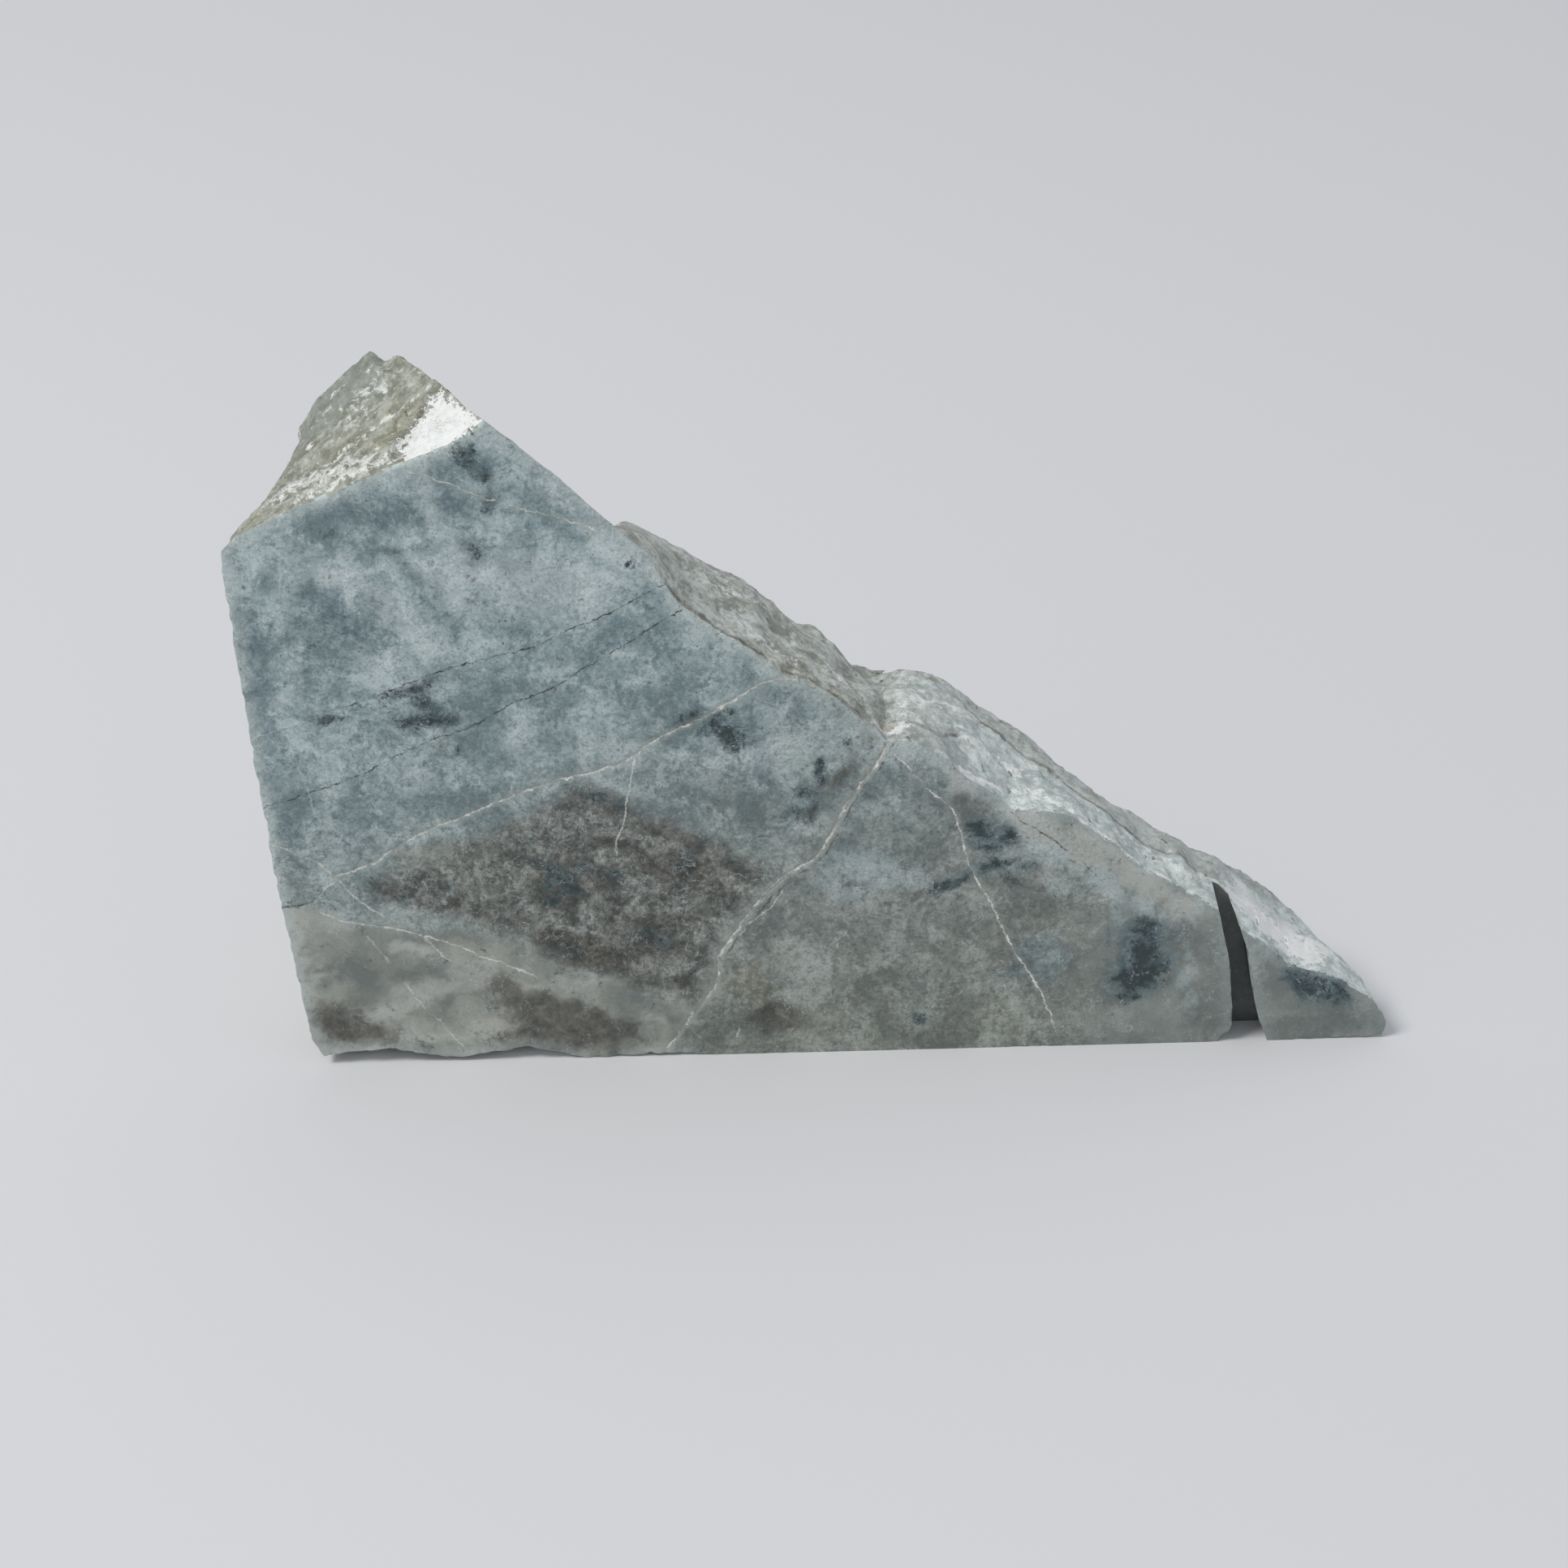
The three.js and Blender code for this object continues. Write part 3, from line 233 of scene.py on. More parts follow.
# Marks on the broken top, the rind slope and the tip: lines through points of the stone in mm,
# with their reach in mm and their strength
marks = {
    # pale lines in the skin, and painted highlights where light glints on the broken top, the lump, the
    # slope and the tip
    "glintAndPale": [
        (0.75, 1.0, [(2.4, 2.2, 32.1), (4.0, 2.2, 33.1), (5.9, 1.4, 34.0), (7.4, 0.9, 34.5)]),
        (0.5, 0.8, [(4.3, 0.6, 32.9), (5.6, 0.7, 33.5), (8.0, 0.6, 34.6), (9.2, 0.5, 35.0)]),
        (0.2, 0.8, [(4.1, 2.2, 33.2), (5.1, 2.1, 33.8), (6.9, 3.0, 34.8), (8.1, 3.4, 35.6),
                    (9.3, 3.5, 36.3), (10.6, 3.9, 37.1)]),
        (0.6, 0.6, [(6.7, 5.4, 35.9), (7.4, 5.6, 36.4), (8.0, 5.7, 36.8)]),
        (0.4, 0.6, [(6.4, 4.8, 35.1), (7.1, 4.6, 35.6)]),
        (0.25, 0.8, [(5.4, 6.8, 35.4), (5.9, 7.0, 35.9)]),
        (0.2, 0.7, [(5.2, 6.4, 35.1), (5.0, 6.2, 34.9)]),
        (0.3, 0.6, [(4.2, 4.6, 33.9), (4.8, 4.6, 34.2)]),
        (0.4, 0.6, [(25.3, 1.9, 25.2), (26.4, 1.6, 24.4), (28.4, 1.4, 22.8)]),
        (0.5, 0.5, [(24.6, 3.6, 25.9), (27.0, 4.6, 24.2)]),
        (0.5, 0.7, [(30.2, 2.9, 21.5), (31.7, 2.2, 20.4)]),
        (0.35, 0.9, [(32.2, 0.6, 19.6), (33.4, 0.9, 18.8), (34.2, 1.6, 18.9)]),
        (0.5, 0.6, [(33.9, 3.4, 19.2), (35.5, 4.4, 18.5), (36.8, 5.7, 17.8)]),
        (0.6, 0.55, [(36.6, 3.4, 17.8), (37.5, 3.2, 17.1), (38.9, 2.9, 15.9), (40.3, 2.7, 15.1)]),
        (0.3, 0.6, [(38.5, 0.8, 15.5), (39.6, 1.2, 14.9), (41.0, 1.7, 14.8), (41.5, 0.9, 14.5)]),
        (0.18, 0.9, [(36.7, 0.3, 17.0), (38.9, 0.7, 15.4)]),
        (0.18, 0.8, [(41.5, 0.9, 14.5), (42.8, 0.3, 14.0), (44.4, 0.2, 12.7), (45.7, 0.2, 11.5),
                     (47.3, 0.15, 10.3), (49.3, 0.15, 8.9)]),
        (0.4, 0.5, [(44.2, 1.4, 12.9), (46.7, 2.0, 10.8), (48.5, 2.2, 9.6)]),
        (0.2, 0.9, [(49.0, 2.5, 9.4), (49.3, 1.4, 8.9), (49.4, 0.3, 8.3)]),
        (1.0, 1.1, [(51.6, 2.6, 7.5), (52.6, 2.0, 6.8), (53.6, 2.0, 5.9), (54.6, 1.7, 5.0),
                    (55.4, 1.4, 4.6)]),
        (0.8, 0.9, [(52.1, 3.8, 7.4), (53.3, 3.2, 6.4), (54.6, 3.0, 5.3), (56.4, 2.2, 4.3)])],
    "olive": [
        (0.9, 0.8, [(5.6, 3.0, 34.3), (7.4, 3.2, 35.4), (8.6, 3.4, 36.0), (9.9, 3.6, 36.9)]),
        (0.7, 1.0, [(8.2, 1.8, 35.2), (8.9, 2.3, 35.7), (9.6, 3.0, 36.4)]),
        (0.6, 0.8, [(6.4, 5.2, 35.4), (6.8, 5.2, 35.7)]),
        (0.5, 0.8, [(10.4, 3.9, 37.0), (11.2, 3.3, 37.2)]),
        (0.7, 0.9, [(1.3, 0.5, 31.4), (2.1, 1.2, 31.9)]),
        (0.6, 0.6, [(2.8, 2.9, 32.5), (4.0, 3.0, 33.2)]),
        (0.8, 0.5, [(26.4, 0.5, 24.0), (29.0, 0.4, 22.3), (31.2, 0.4, 20.7)]),
        (0.5, 0.7, [(31.6, 0.6, 20.2), (32.7, 1.4, 18.9), (33.6, 1.2, 18.7)])],
    "seam": [
        (0.1, 0.9, [(4.0, 4.3, 33.5), (4.5, 4.4, 34.1), (5.1, 4.8, 34.5), (5.8, 5.3, 35.0),
                    (6.5, 5.4, 35.5)]),
        (0.25, 0.9, [(9.1, 0.7, 35.1), (9.4, 1.2, 35.4), (9.7, 1.9, 35.9), (10.1, 2.7, 36.4),
                     (10.5, 3.2, 36.8)]),
        (0.5, 0.75, [(1.8, 2.4, 31.9), (2.4, 2.6, 32.2), (3.3, 2.7, 32.8), (4.2, 2.6, 33.3)]),
        (0.4, 0.7, [(4.4, 1.2, 33.2), (5.4, 1.6, 33.8)]),
        (0.16, 0.5, [(11.7, 2.2, 37.0), (12.0, 2.1, 36.9)]),
        (0.3, 1.0, [(22.1, 0.2, 27.6), (23.1, 0.4, 26.5), (24.2, 0.45, 25.6), (25.5, 0.35, 24.7),
                    (26.9, 0.4, 23.6)]),
        (0.25, 0.8, [(22.9, 1.0, 27.0), (24.4, 1.2, 25.8), (26.3, 1.0, 24.3)]),
        (0.3, 0.6, [(22.0, 2.1, 28.4), (22.8, 2.6, 27.6), (23.6, 2.9, 26.8)]),
        (0.25, 0.9, [(27.8, 0.4, 22.8), (29.6, 0.5, 21.9), (31.0, 0.5, 20.8), (32.2, 0.5, 19.7)]),
        (0.22, 0.8, [(28.2, 1.0, 22.7), (30.2, 1.3, 21.5), (31.9, 1.2, 20.1)]),
        (0.22, 0.8, [(33.4, 1.9, 19.0), (34.6, 1.9, 18.8), (36.0, 1.9, 18.0), (36.9, 3.1, 17.5)]),
        (0.3, 0.7, [(36.6, 5.9, 18.0), (38.9, 5.6, 16.3), (42.0, 3.9, 14.4), (44.6, 2.6, 12.6),
                    (47.2, 2.8, 10.6), (49.6, 2.6, 9.0)]),
        (0.2, 0.6, [(40.6, 2.0, 15.0), (41.6, 2.2, 14.8), (42.6, 1.5, 14.3)])],
    # a dip in the skin before the lump
    "dip": [
        (1.3, 1.0, [(31.4, 5.0, 20.3), (32.4, 7.2, 19.4), (32.8, 10.0, 18.4)])],
}

# the clean bright facet beside the upper corner, seen from above, as x and y
facetOutline = [(9.3, -0.3), (9.1, 0.9), (9.1, 1.6), (9.5, 1.9), (9.8, 2.3), (10.3, 2.4), (10.4, 3.1),
                (10.6, 3.4), (11.4, 3.5), (13.9, -0.3)]


def stretchReach(spot, a, b):
    # Distance from a point to one straight stretch
    way = b - a
    share = max(0.0, min(1.0, (spot - a).dot(way) / way.length_squared))
    return (a + way * share - spot).length


def lineReach(spot, points):
    # Distance from a point to a line through points
    return min(stretchReach(spot, a, b) for a, b in zip(points, points[1:]))


def depthIn(x, y, outline):
    # How far a point lies inside an outline, and below nothing outside it
    inside = False
    for a, b in zip(outline, outline[1:] + outline[:1]):
        if (a.y > y) != (b.y > y) and x < (b.x - a.x) * (y - a.y) / (b.y - a.y) + a.x:
            inside = not inside
    reach = lineReach(Vector((x, y)), outline + outline[:1])
    return reach if inside else -reach


def dabShare(x, z, dab):
    # How strongly one dab colours a place: fully in its middle, not at all past 1.6 times its reach
    middleX, middleZ, along, across, turn, strength = dab
    dx, dz = x - middleX, z - middleZ
    if abs(dx) + abs(dz) > 2.2 * max(along, across):
        return 0.0
    c, s = math.cos(math.radians(turn)), math.sin(math.radians(turn))
    reach = math.hypot((dx * c + dz * s) / along, (dz * c - dx * s) / across)
    return strength * smooth(1.6, 0.2, reach)


touch = 0.01    # mm: nearer than this counts as on the sawn face or the foot

rawStone = {
    # lengths in mm
    "faceCell": 1.0, "footCell": 1.6,          # first cells on the sawn face and on the foot
    "faceAim": 0.36, "crackAim": 0.17,         # longest edges on the sawn face and beside an open crack
    "topAim": 0.25, "restAim": 0.5,            # longest edges on the top, and on the back and the flank
    "roughShow": 0.7, "roughHide": 1.3,        # longest edges before the wear, where it shows and where not
    "showBack": 9.5, "showFoot": 2.5,          # what shows lies before this, and higher than this
    "wear": 1,                                 # rounds of smoothing before the relief
    "grit": 0.08, "lump": 0.14, "strata": 0.17, "backGrit": 0.2, "ledge": 0.34,
    "edgeChip": 0.14, "seam": 0.12, "dip": 0.45,
    "grooveReach": 0.15, "fineReach": 0.26,    # how wide a crack gapes, and how far it is cut finer
    "crispTurn": 40,                           # degrees: edges sharper than this stay crisp
    "layerWay": (0.77, 0.26, 0.58),            # the broken top's layers rise to the right
    "slopeWay": (0.78, 0.08, -0.62),           # the rind is drawn out down the slope
}

# Where the walls of the slot near the tip are, in mm
slotPlace = {"left": 49.4, "right": 53.7, "deep": 2.08, "high": 8.8, "backWall": 1.9}


def isSawn(face):
    return face.normal.y < -0.999 and face.calc_center_median().y < 2 * touch


def isFoot(face):
    return face.normal.z < -0.995 and face.calc_center_median().z < touch


def newObject(name, data):
    made = bpy.data.objects.new(name, data)
    bpy.context.scene.collection.objects.link(made)
    return made


def gridFace(bm, faces, cell, axes):
    # One flat face cut into even cells
    live = list(bmesh.ops.dissolve_faces(bm, faces=faces, use_verts=False)["region"])
    for axis in axes:
        low = min(v.co[axis] for f in live for v in f.verts)
        high = max(v.co[axis] for f in live for v in f.verts)
        across = Vector((0, 0, 0))
        across[axis] = 1
        for k in range(int((high - low) / cell) + 1):
            place = Vector((0, 0, 0))
            place[axis] = low + (k + 0.63) * cell
            touched = [f for f in live if min(v.co[axis] for v in f.verts) < place[axis]
                       < max(v.co[axis] for v in f.verts)]
            parts = set(touched)
            for f in touched:
                parts.update(f.edges)
                parts.update(f.verts)
            cut = bmesh.ops.bisect_plane(bm, geom=list(parts), plane_co=place, plane_no=across, dist=1e-4)
            whole = {f for f in live if f.is_valid}
            live = list(whole | {g for g in cut["geom"] if isinstance(g, bmesh.types.BMFace)})


def splitLong(bm, aimOf, rounds):
    # Edges longer than the aim for their place are halved, round by round
    for _ in range(rounds):
        bmesh.ops.triangulate(bm, faces=[f for f in bm.faces if len(f.verts) > 3])
        long = [e for e in bm.edges if e.calc_length() > aimOf((e.verts[0].co + e.verts[1].co) / 2, e)]
        if not long:
            break
        bmesh.ops.subdivide_edges(bm, edges=long, cuts=1, use_grid_fill=False)
    bmesh.ops.triangulate(bm, faces=[f for f in bm.faces if len(f.verts) > 3])
    bm.normal_update()


def isSlotWall(face):
    s = slotPlace
    co, normal = face.calc_center_median(), face.normal
    if not (s["left"] < co.x < s["right"] and touch < co.y < s["deep"] and co.z < s["high"]):
        return False
    return abs(normal.x) > 0.85 or (normal.y < -0.9 and co.y > s["backWall"])


def ridgeX(y):
    return 13.5 - 0.62 * y      # the crest between the broken top and the slope behind it


def brokenShare(co):
    return smooth(0.15, -0.15, co.x - ridgeX(co.y)) * smooth(29.6, 30.8, co.z)


def drawnOut(co, way, keep):
    # The same point with the grain drawn out along one way
    return co - way * co.dot(way) * (1 - keep)


def reliefAt(co, normal, facet):
    # How far the skin stands out at one point, in mm
    s = rawStone
    top = smooth(0.15, 0.5, normal.z) * smooth(9.8, 8.4, co.y)
    broken = brokenShare(co) * top
    rind = top - broken
    fine = noise.fractal(co * 2.4, 0.9, 2.1, 4)
    coarse = noise.noise(co * 0.7)
    # the back broke in low ledges, which fade towards the sawn face and the thin tip
    step = 2.6 * noise.noise(co * 0.17 + Vector((4, 9, 2))) + 0.5 * noise.noise(co * 0.6)
    ledge = math.floor(step) + smooth(0.38, 0.62, step - math.floor(step))
    thick = smooth(54.0, 46.0, co.x)
    ledge *= smooth(1.0, 5.0, co.y) * thick
    grit = coarse + 0.6 * noise.fractal(co * 1.1, 0.8, 2.0, 4)
    height = (1 - top) * (s["ledge"] * ledge + s["backGrit"] * (0.4 + 0.6 * thick) * grit)
    if broken > 0.01:
        leaf = drawnOut(co, Vector(s["layerWay"]).normalized(), 0.22)
        layers = noise.noise(leaf * 1.3) + 0.55 * noise.noise(leaf * 2.9) + 0.35 * noise.noise(leaf * 5.5)
        flat = smooth(-0.2, 0.3, facet)
        height += broken * (1 - 0.85 * flat) * (s["strata"] * layers + s["grit"] * 0.6 * fine)
    if rind > 0.01:
        drawn = drawnOut(co, Vector(s["slopeWay"]).normalized(), 0.3)
        streak = noise.noise(drawn * 1.5 + Vector((7, 3, 1))) + 0.5 * noise.noise(drawn * 3.4)
        cells = 0.5 - noise.voronoi(co * 1.3)[0][0]
        # calmer on the chamfer, and gone where the slope meets the peak
        rind *= (1 - 0.6 * smooth(36.5, 39.0, co.x) * smooth(5.5, 4.0, co.y)) * smooth(19.0, 24.5, co.x)
        height += rind * (s["lump"] * (0.4 * coarse + 0.5 * cells + 0.6 * streak) + s["grit"] * fine)
    return height


def paintSkin(bm):
    # What a place is made of, kept on the mesh for the finishes
    layers = {name: bm.verts.layers.float.new(name)
              for name in [*fields, *dabs, *marks, "rim", "facet", "slot"]}
    outlines = {name: [Vector(p) for p in points] for name, points in fields.items()}
    facetLine = [Vector(p) for p in facetOutline]
    lines = {name: [(reach, strength, [Vector(p) for p in points]) for reach, strength, points in rows]
             for name, rows in marks.items()}
    rim = [v.co for v in bm.verts if v.co.y < touch and v.co.z > 0.1
           and any(not isSawn(f) for f in v.link_faces)]
    tree = kdtree.KDTree(len(rim))
    for i, co in enumerate(rim):
        tree.insert(co, i)
    tree.balance()
    apart = Vector((31, 17, 5))    # far enough for the second noise to differ from the first
    for v in bm.verts:
        co = v.co
        for name in (*fields, "facet"):
            v[layers[name]] = -9.0    # well outside every outline
        v[layers["rim"]] = tree.find(co)[2]
        # the slot mark grows deeper into the slot; it carries the painted shade of the slot's walls
        v[layers["slot"]] = smooth(0.0, 0.8, co.y) if any(isSlotWall(f) for f in v.link_faces) else 0.0
        if co.y < 0.6:
            # on the sawn face and its worn rim: fields, and dabs bent out of round
            for name, outline in outlines.items():
                v[layers[name]] = depthIn(co.x, co.z, outline)
            bendX = 0.6 * noise.noise(co * 0.9) + 0.3 * noise.noise(co * 2.4)
            bendZ = 0.6 * noise.noise(co * 0.9 + apart) + 0.3 * noise.noise(co * 2.4 + apart)
            for name, rows in dabs.items():
                loose = 0.5 if name == "ink" else 1.0
                x, z = co.x + bendX * loose, co.z + bendZ * loose
                v[layers[name]] = max(dabShare(x, z, dab) for dab in rows)
        if co.y > 0.001 and v.normal.z > -0.2:
            # behind it, wherever the skin faces up: the facet of the peak, and lines
            if co.x < 15:
                v[layers["facet"]] = depthIn(co.x, co.y, facetLine)
            for name, rows in lines.items():
                near = [strength * smooth(1.8, 0.2, lineReach(co, points) / reach)
                        for reach, strength, points in rows if points[0].x - 2 < co.x < points[-1].x + 2]
                v[layers[name]] = max(near, default=0.0)
    return layers


def makeStone(node):
    bm = bmesh.new()
    bm.from_mesh(node.data)
    bmesh.ops.remove_doubles(bm, verts=bm.verts, dist=1e-7)
    bmesh.ops.transform(bm, matrix=Matrix.Translation(corner) @ Matrix.Scale(1000, 4), verts=bm.verts)
    bm.normal_update()
    low = [min(v.co[i] for v in bm.verts) for i in range(3)]
    high = [max(v.co[i] for v in bm.verts) for i in range(3)]
    s = rawStone
    uncut = 9.0    # mm: longer than any edge there, so none is split
    gridFace(bm, [f for f in bm.faces if isSawn(f)], s["faceCell"], (0, 2))
    bm.normal_update()
    gridFace(bm, [f for f in bm.faces if isFoot(f)], s["footCell"], (0, 1))
    bm.normal_update()

    def firstAim(co, edge):
        if co.y < touch or co.z < touch:
            return uncut
        return s["roughShow"] if co.y < s["showBack"] and co.z > s["showFoot"] else s["roughHide"]

    splitLong(bm, firstAim, 5)
    worn = [v for v in bm.verts if v.co.y > touch and v.co.z > touch
            and not any(isSlotWall(f) for f in v.link_faces)]
    for _ in range(s["wear"]):
        bmesh.ops.smooth_vert(bm, verts=worn, factor=0.4, use_axis_x=True, use_axis_y=True, use_axis_z=True)
    print("rough shape:", len(bm.faces), "faces")

    cracks = [vein for vein in veins.values() if vein["depth"] > 0.03]

    def lastAim(co, edge):
        if co.y < touch:
            beside = min(lineReach(co, vein["line"]) for vein in cracks) < s["fineReach"]
            return s["crackAim"] if beside else s["faceAim"]
        if co.z < touch:
            return uncut
        shows = edge.link_faces[0].normal.z > 0.15 and co.y < s["showBack"]
        return s["topAim"] if shows else s["restAim"]

    splitLong(bm, lastAim, 4)
    print("skin cut:", len(bm.faces), "faces")
    layers = paintSkin(bm)
    print("skin painted")

    moves = {}
    for v in bm.verts:
        co = v.co
        if co.z < touch:
            continue
        if co.y < touch:
            groove = max(vein["depth"] * smooth(s["grooveReach"], 0.0, lineReach(co, vein["line"]))
                         for vein in cracks)
            if any(not isSawn(f) for f in v.link_faces):
                # the worn rim of the sawn face: small chips into the stone
                bite = max(0.0, noise.noise(co * 1.7) + 0.2) * s["edgeChip"]
                side = Vector((v.normal.x, 0, v.normal.z)).normalized()
                moves[v] = Vector((0, bite * 0.6, 0)) - side * bite
            elif groove > 0:
                moves[v] = Vector((0, groove, 0))
            continue
        if any(isSlotWall(f) for f in v.link_faces):
            continue
        away = smooth(0.0, 0.7, co.y) * smooth(0.0, 0.5, co.z)
        sunk = s["seam"] * v[layers["seam"]] + s["dip"] * v[layers["dip"]]
        moves[v] = v.normal * ((reliefAt(co, v.normal, v[layers["facet"]]) - sunk) * away)
    for v, move in moves.items():
        v.co += move
        for i in range(3):
            v.co[i] = min(high[i], max(low[i], v.co[i]))
    bm.normal_update()

    # slots: 0 the sawn finish, 1 the broken top's, 2 the rind's
    for f in bm.faces:
        middle = f.calc_center_median()
        f.smooth = True
        if isSlotWall(f) or (f.normal.y < -0.6 and all(v.co.y < 0.25 for v in f.verts)):
            f.material_index = 0
        elif f.normal.z > 0.1 and middle.y < 9 and middle.x < ridgeX(middle.y) and middle.z > 30.2:
            f.material_index = 1
        else:
            f.material_index = 2
    for e in bm.edges:
        if len(e.link_faces) == 2 and e.calc_face_angle(0) > math.radians(s["crispTurn"]):
            e.smooth = False
    bmesh.ops.transform(bm, matrix=Matrix.Scale(0.001, 4) @ Matrix.Translation(-corner), verts=bm.verts)
    mesh = bpy.data.meshes.new("rawJadeStone")
    bm.to_mesh(mesh)
    bm.free()
    stone = newObject("rawJadeStone", mesh)
    print("stone:", len(mesh.polygons), "triangles")
    return stone


# Building shader trees

number, vector, paint = "NodeSocketFloat", "NodeSocketVector", "NodeSocketColor"
shared = {}


def add(tree, kind, inputs=None, **settings):
    made = tree.nodes.new(kind)
    for name, value in settings.items():
        setattr(made, name, value)
    for key, value in (inputs or {}).items():
        if isinstance(value, bpy.types.NodeSocket):
            tree.links.new(value, made.inputs[key])
        else:
            made.inputs[key].default_value = value
    return made


def calc(tree, operation, first, second=0.0, third=0.0):
    return add(tree, "ShaderNodeMath", {0: first, 1: second, 2: third}, operation=operation).outputs[0]


def times(tree, first, second):
    return calc(tree, "MULTIPLY", first, second)


def timesPlus(tree, first, second, third):
    return calc(tree, "MULTIPLY_ADD", first, second, third)


def ramp(tree, value, low, high, toLow=0.0, toHigh=1.0, kind="SMOOTHSTEP"):
    return add(tree, "ShaderNodeMapRange", {"Value": value, "From Min": low, "From Max": high,
                                            "To Min": toLow, "To Max": toHigh},
               interpolation_type=kind).outputs["Result"]


def mixColour(tree, share, first, second, blend="MIX"):
    return add(tree, "ShaderNodeMix", {0: share, 6: first, 7: second}, data_type="RGBA",
               blend_type=blend).outputs[2]


def noiseAt(tree, point, scale, detail, rough):
    return add(tree, "ShaderNodeTexNoise", {"Vector": point, "Scale": scale, "Detail": detail,
                                            "Roughness": rough}).outputs


def grain(tree, point, size, detail=4.0, rough=0.55):
    return noiseAt(tree, point, 1.0 / size, detail, rough)["Fac"]


def axesOf(tree, point):
    return add(tree, "ShaderNodeSeparateXYZ", {0: point}).outputs


def shakenPoint(tree, point, scale, rough, reach):
    # The point drawn about by a noise
    swirl = noiseAt(tree, point, scale, 4.0, rough)["Color"]
    shift = add(tree, "ShaderNodeVectorMath", {0: swirl, 1: (0.5, 0.5, 0.5)},
                operation="SUBTRACT").outputs[0]
    return add(tree, "ShaderNodeVectorMath", {0: shift, 1: (reach, reach, reach), 2: point},
               operation="MULTIPLY_ADD").outputs[0]


def dimmed(tree, colour, level, share=1.0):
    # The colour times one grey level
    grey = add(tree, "ShaderNodeCombineColor", {0: level, 1: level, 2: level}).outputs[0]
    return mixColour(tree, share, colour, grey, "MULTIPLY")


def mark(tree, name):
    return add(tree, "ShaderNodeAttribute", attribute_name=name).outputs["Fac"]


def newGroup(name, takes, gives):
    tree = bpy.data.node_groups.new(name, "ShaderNodeTree")
    for label, kind, value in takes:
        socket = tree.interface.new_socket(name=label, in_out="INPUT", socket_type=kind)
        if value is not None:
            socket.default_value = value
    for label, kind in gives:
        tree.interface.new_socket(name=label, in_out="OUTPUT", socket_type=kind)
    return tree, tree.nodes.new("NodeGroupInput").outputs, tree.nodes.new("NodeGroupOutput").inputs


def useGroup(tree, kind, inputs):
    return add(tree, "ShaderNodeGroup", inputs, node_tree=shared[kind]).outputs


def makePointGroup():
    # Stone coordinates in mm, the same drawn about, and how frayed an edge is here
    tree, takes, gives = newGroup("stonePoint", [("Object", vector, None)], [
        ("Point", vector), ("Bent", vector), ("Fray", number), ("Crumbs", number)])
    point = add(tree, "ShaderNodeVectorMath", {0: takes["Object"], 1: (1000, 1000, 1000), 2: tuple(corner)},
                operation="MULTIPLY_ADD").outputs[0]
    bent = shakenPoint(tree, point, 0.45, 0.6, 2.4)
    fray = calc(tree, "SUBTRACT", grain(tree, bent, 1.0, 6.0, 0.72), 0.5)
    crumbs = calc(tree, "SUBTRACT", grain(tree, point, 0.40, 4.0, 0.74), 0.5)
    tree.links.new(point, gives["Point"])
    tree.links.new(bent, gives["Bent"])
    tree.links.new(times(tree, fray, 2.6), gives["Fray"])
    tree.links.new(times(tree, crumbs, 3.0), gives["Crumbs"])
    return tree


def makeStainGroup():
    # A painted mark turned to a natural stain: its edge frays and, where asked, it falls to crumbs
    tree, takes, gives = newGroup("stoneStain", [
        ("Mark", number, 0.0), ("Fray", number, 0.0), ("Crumbs", number, 0.0), ("Frayed", number, 0.4),
        ("Crumbled", number, 0.0), ("From", number, 0.3), ("To", number, 0.8), ("Strength", number, 1.0)],
        [("Mask", number)])
    total = timesPlus(tree, takes["Fray"], takes["Frayed"], takes["Mark"])
    total = timesPlus(tree, takes["Crumbs"], takes["Crumbled"], total)
    mask = ramp(tree, total, takes["From"], takes["To"])
    tree.links.new(times(tree, mask, takes["Strength"]), gives["Mask"])
    return tree


def makeVeinGroup():
    # One thin vein: how near a point is to a drawn line, between two ends
    tree, takes, gives = newGroup("stoneVein", [
        ("Along", number, 0.0), ("Aside", number, 0.0), ("Line", number, 0.0), ("From", number, 0.0),
        ("To", number, 1.0), ("Width", number, 0.1), ("Broken", number, 0.0), ("Strength", number, 1.0)],
        [("Mask", number), ("Halo", number)])
    off = calc(tree, "ABSOLUTE", calc(tree, "SUBTRACT", takes["Aside"], takes["Line"]))
    off = calc(tree, "DIVIDE", off, takes["Width"])
    fat = ramp(tree, takes["Broken"], -0.9, 0.9, 0.4, 1.7)
    start = ramp(tree, calc(tree, "SUBTRACT", takes["Along"], takes["From"]), -0.1, 0.25)
    stop = ramp(tree, calc(tree, "SUBTRACT", takes["To"], takes["Along"]), -0.1, 0.25)
    ends = times(tree, start, stop)
    kept = times(tree, ends, ramp(tree, takes["Broken"], -0.7, 0.5, 0.12, 1.0))
    near = ramp(tree, calc(tree, "DIVIDE", off, fat), 0.95, 0.25)
    mask = times(tree, times(tree, near, kept), takes["Strength"])
    halo = times(tree, ramp(tree, off, 6.0, 0.5), ends)
    tree.links.new(mask, gives["Mask"])
    tree.links.new(times(tree, halo, takes["Strength"]), gives["Halo"])
    return tree


def makeCloudGroup():
    # The stone's own mottling as a value, from soft clouds to speckles
    tree, takes, gives = newGroup("jadeClouds", [
        ("Bent", vector, None), ("Crumbs", number, 0.0), ("Size", number, 3.0), ("Speckle", number, 0.5)],
        [("Cloud", number)])
    size = calc(tree, "DIVIDE", 1.0, takes["Size"])
    soft = noiseAt(tree, takes["Bent"], size, 7.0, 0.68)["Fac"]
    speckle = times(tree, takes["Crumbs"], 0.33)
    tree.links.new(timesPlus(tree, speckle, takes["Speckle"], soft), gives["Cloud"])
    return tree


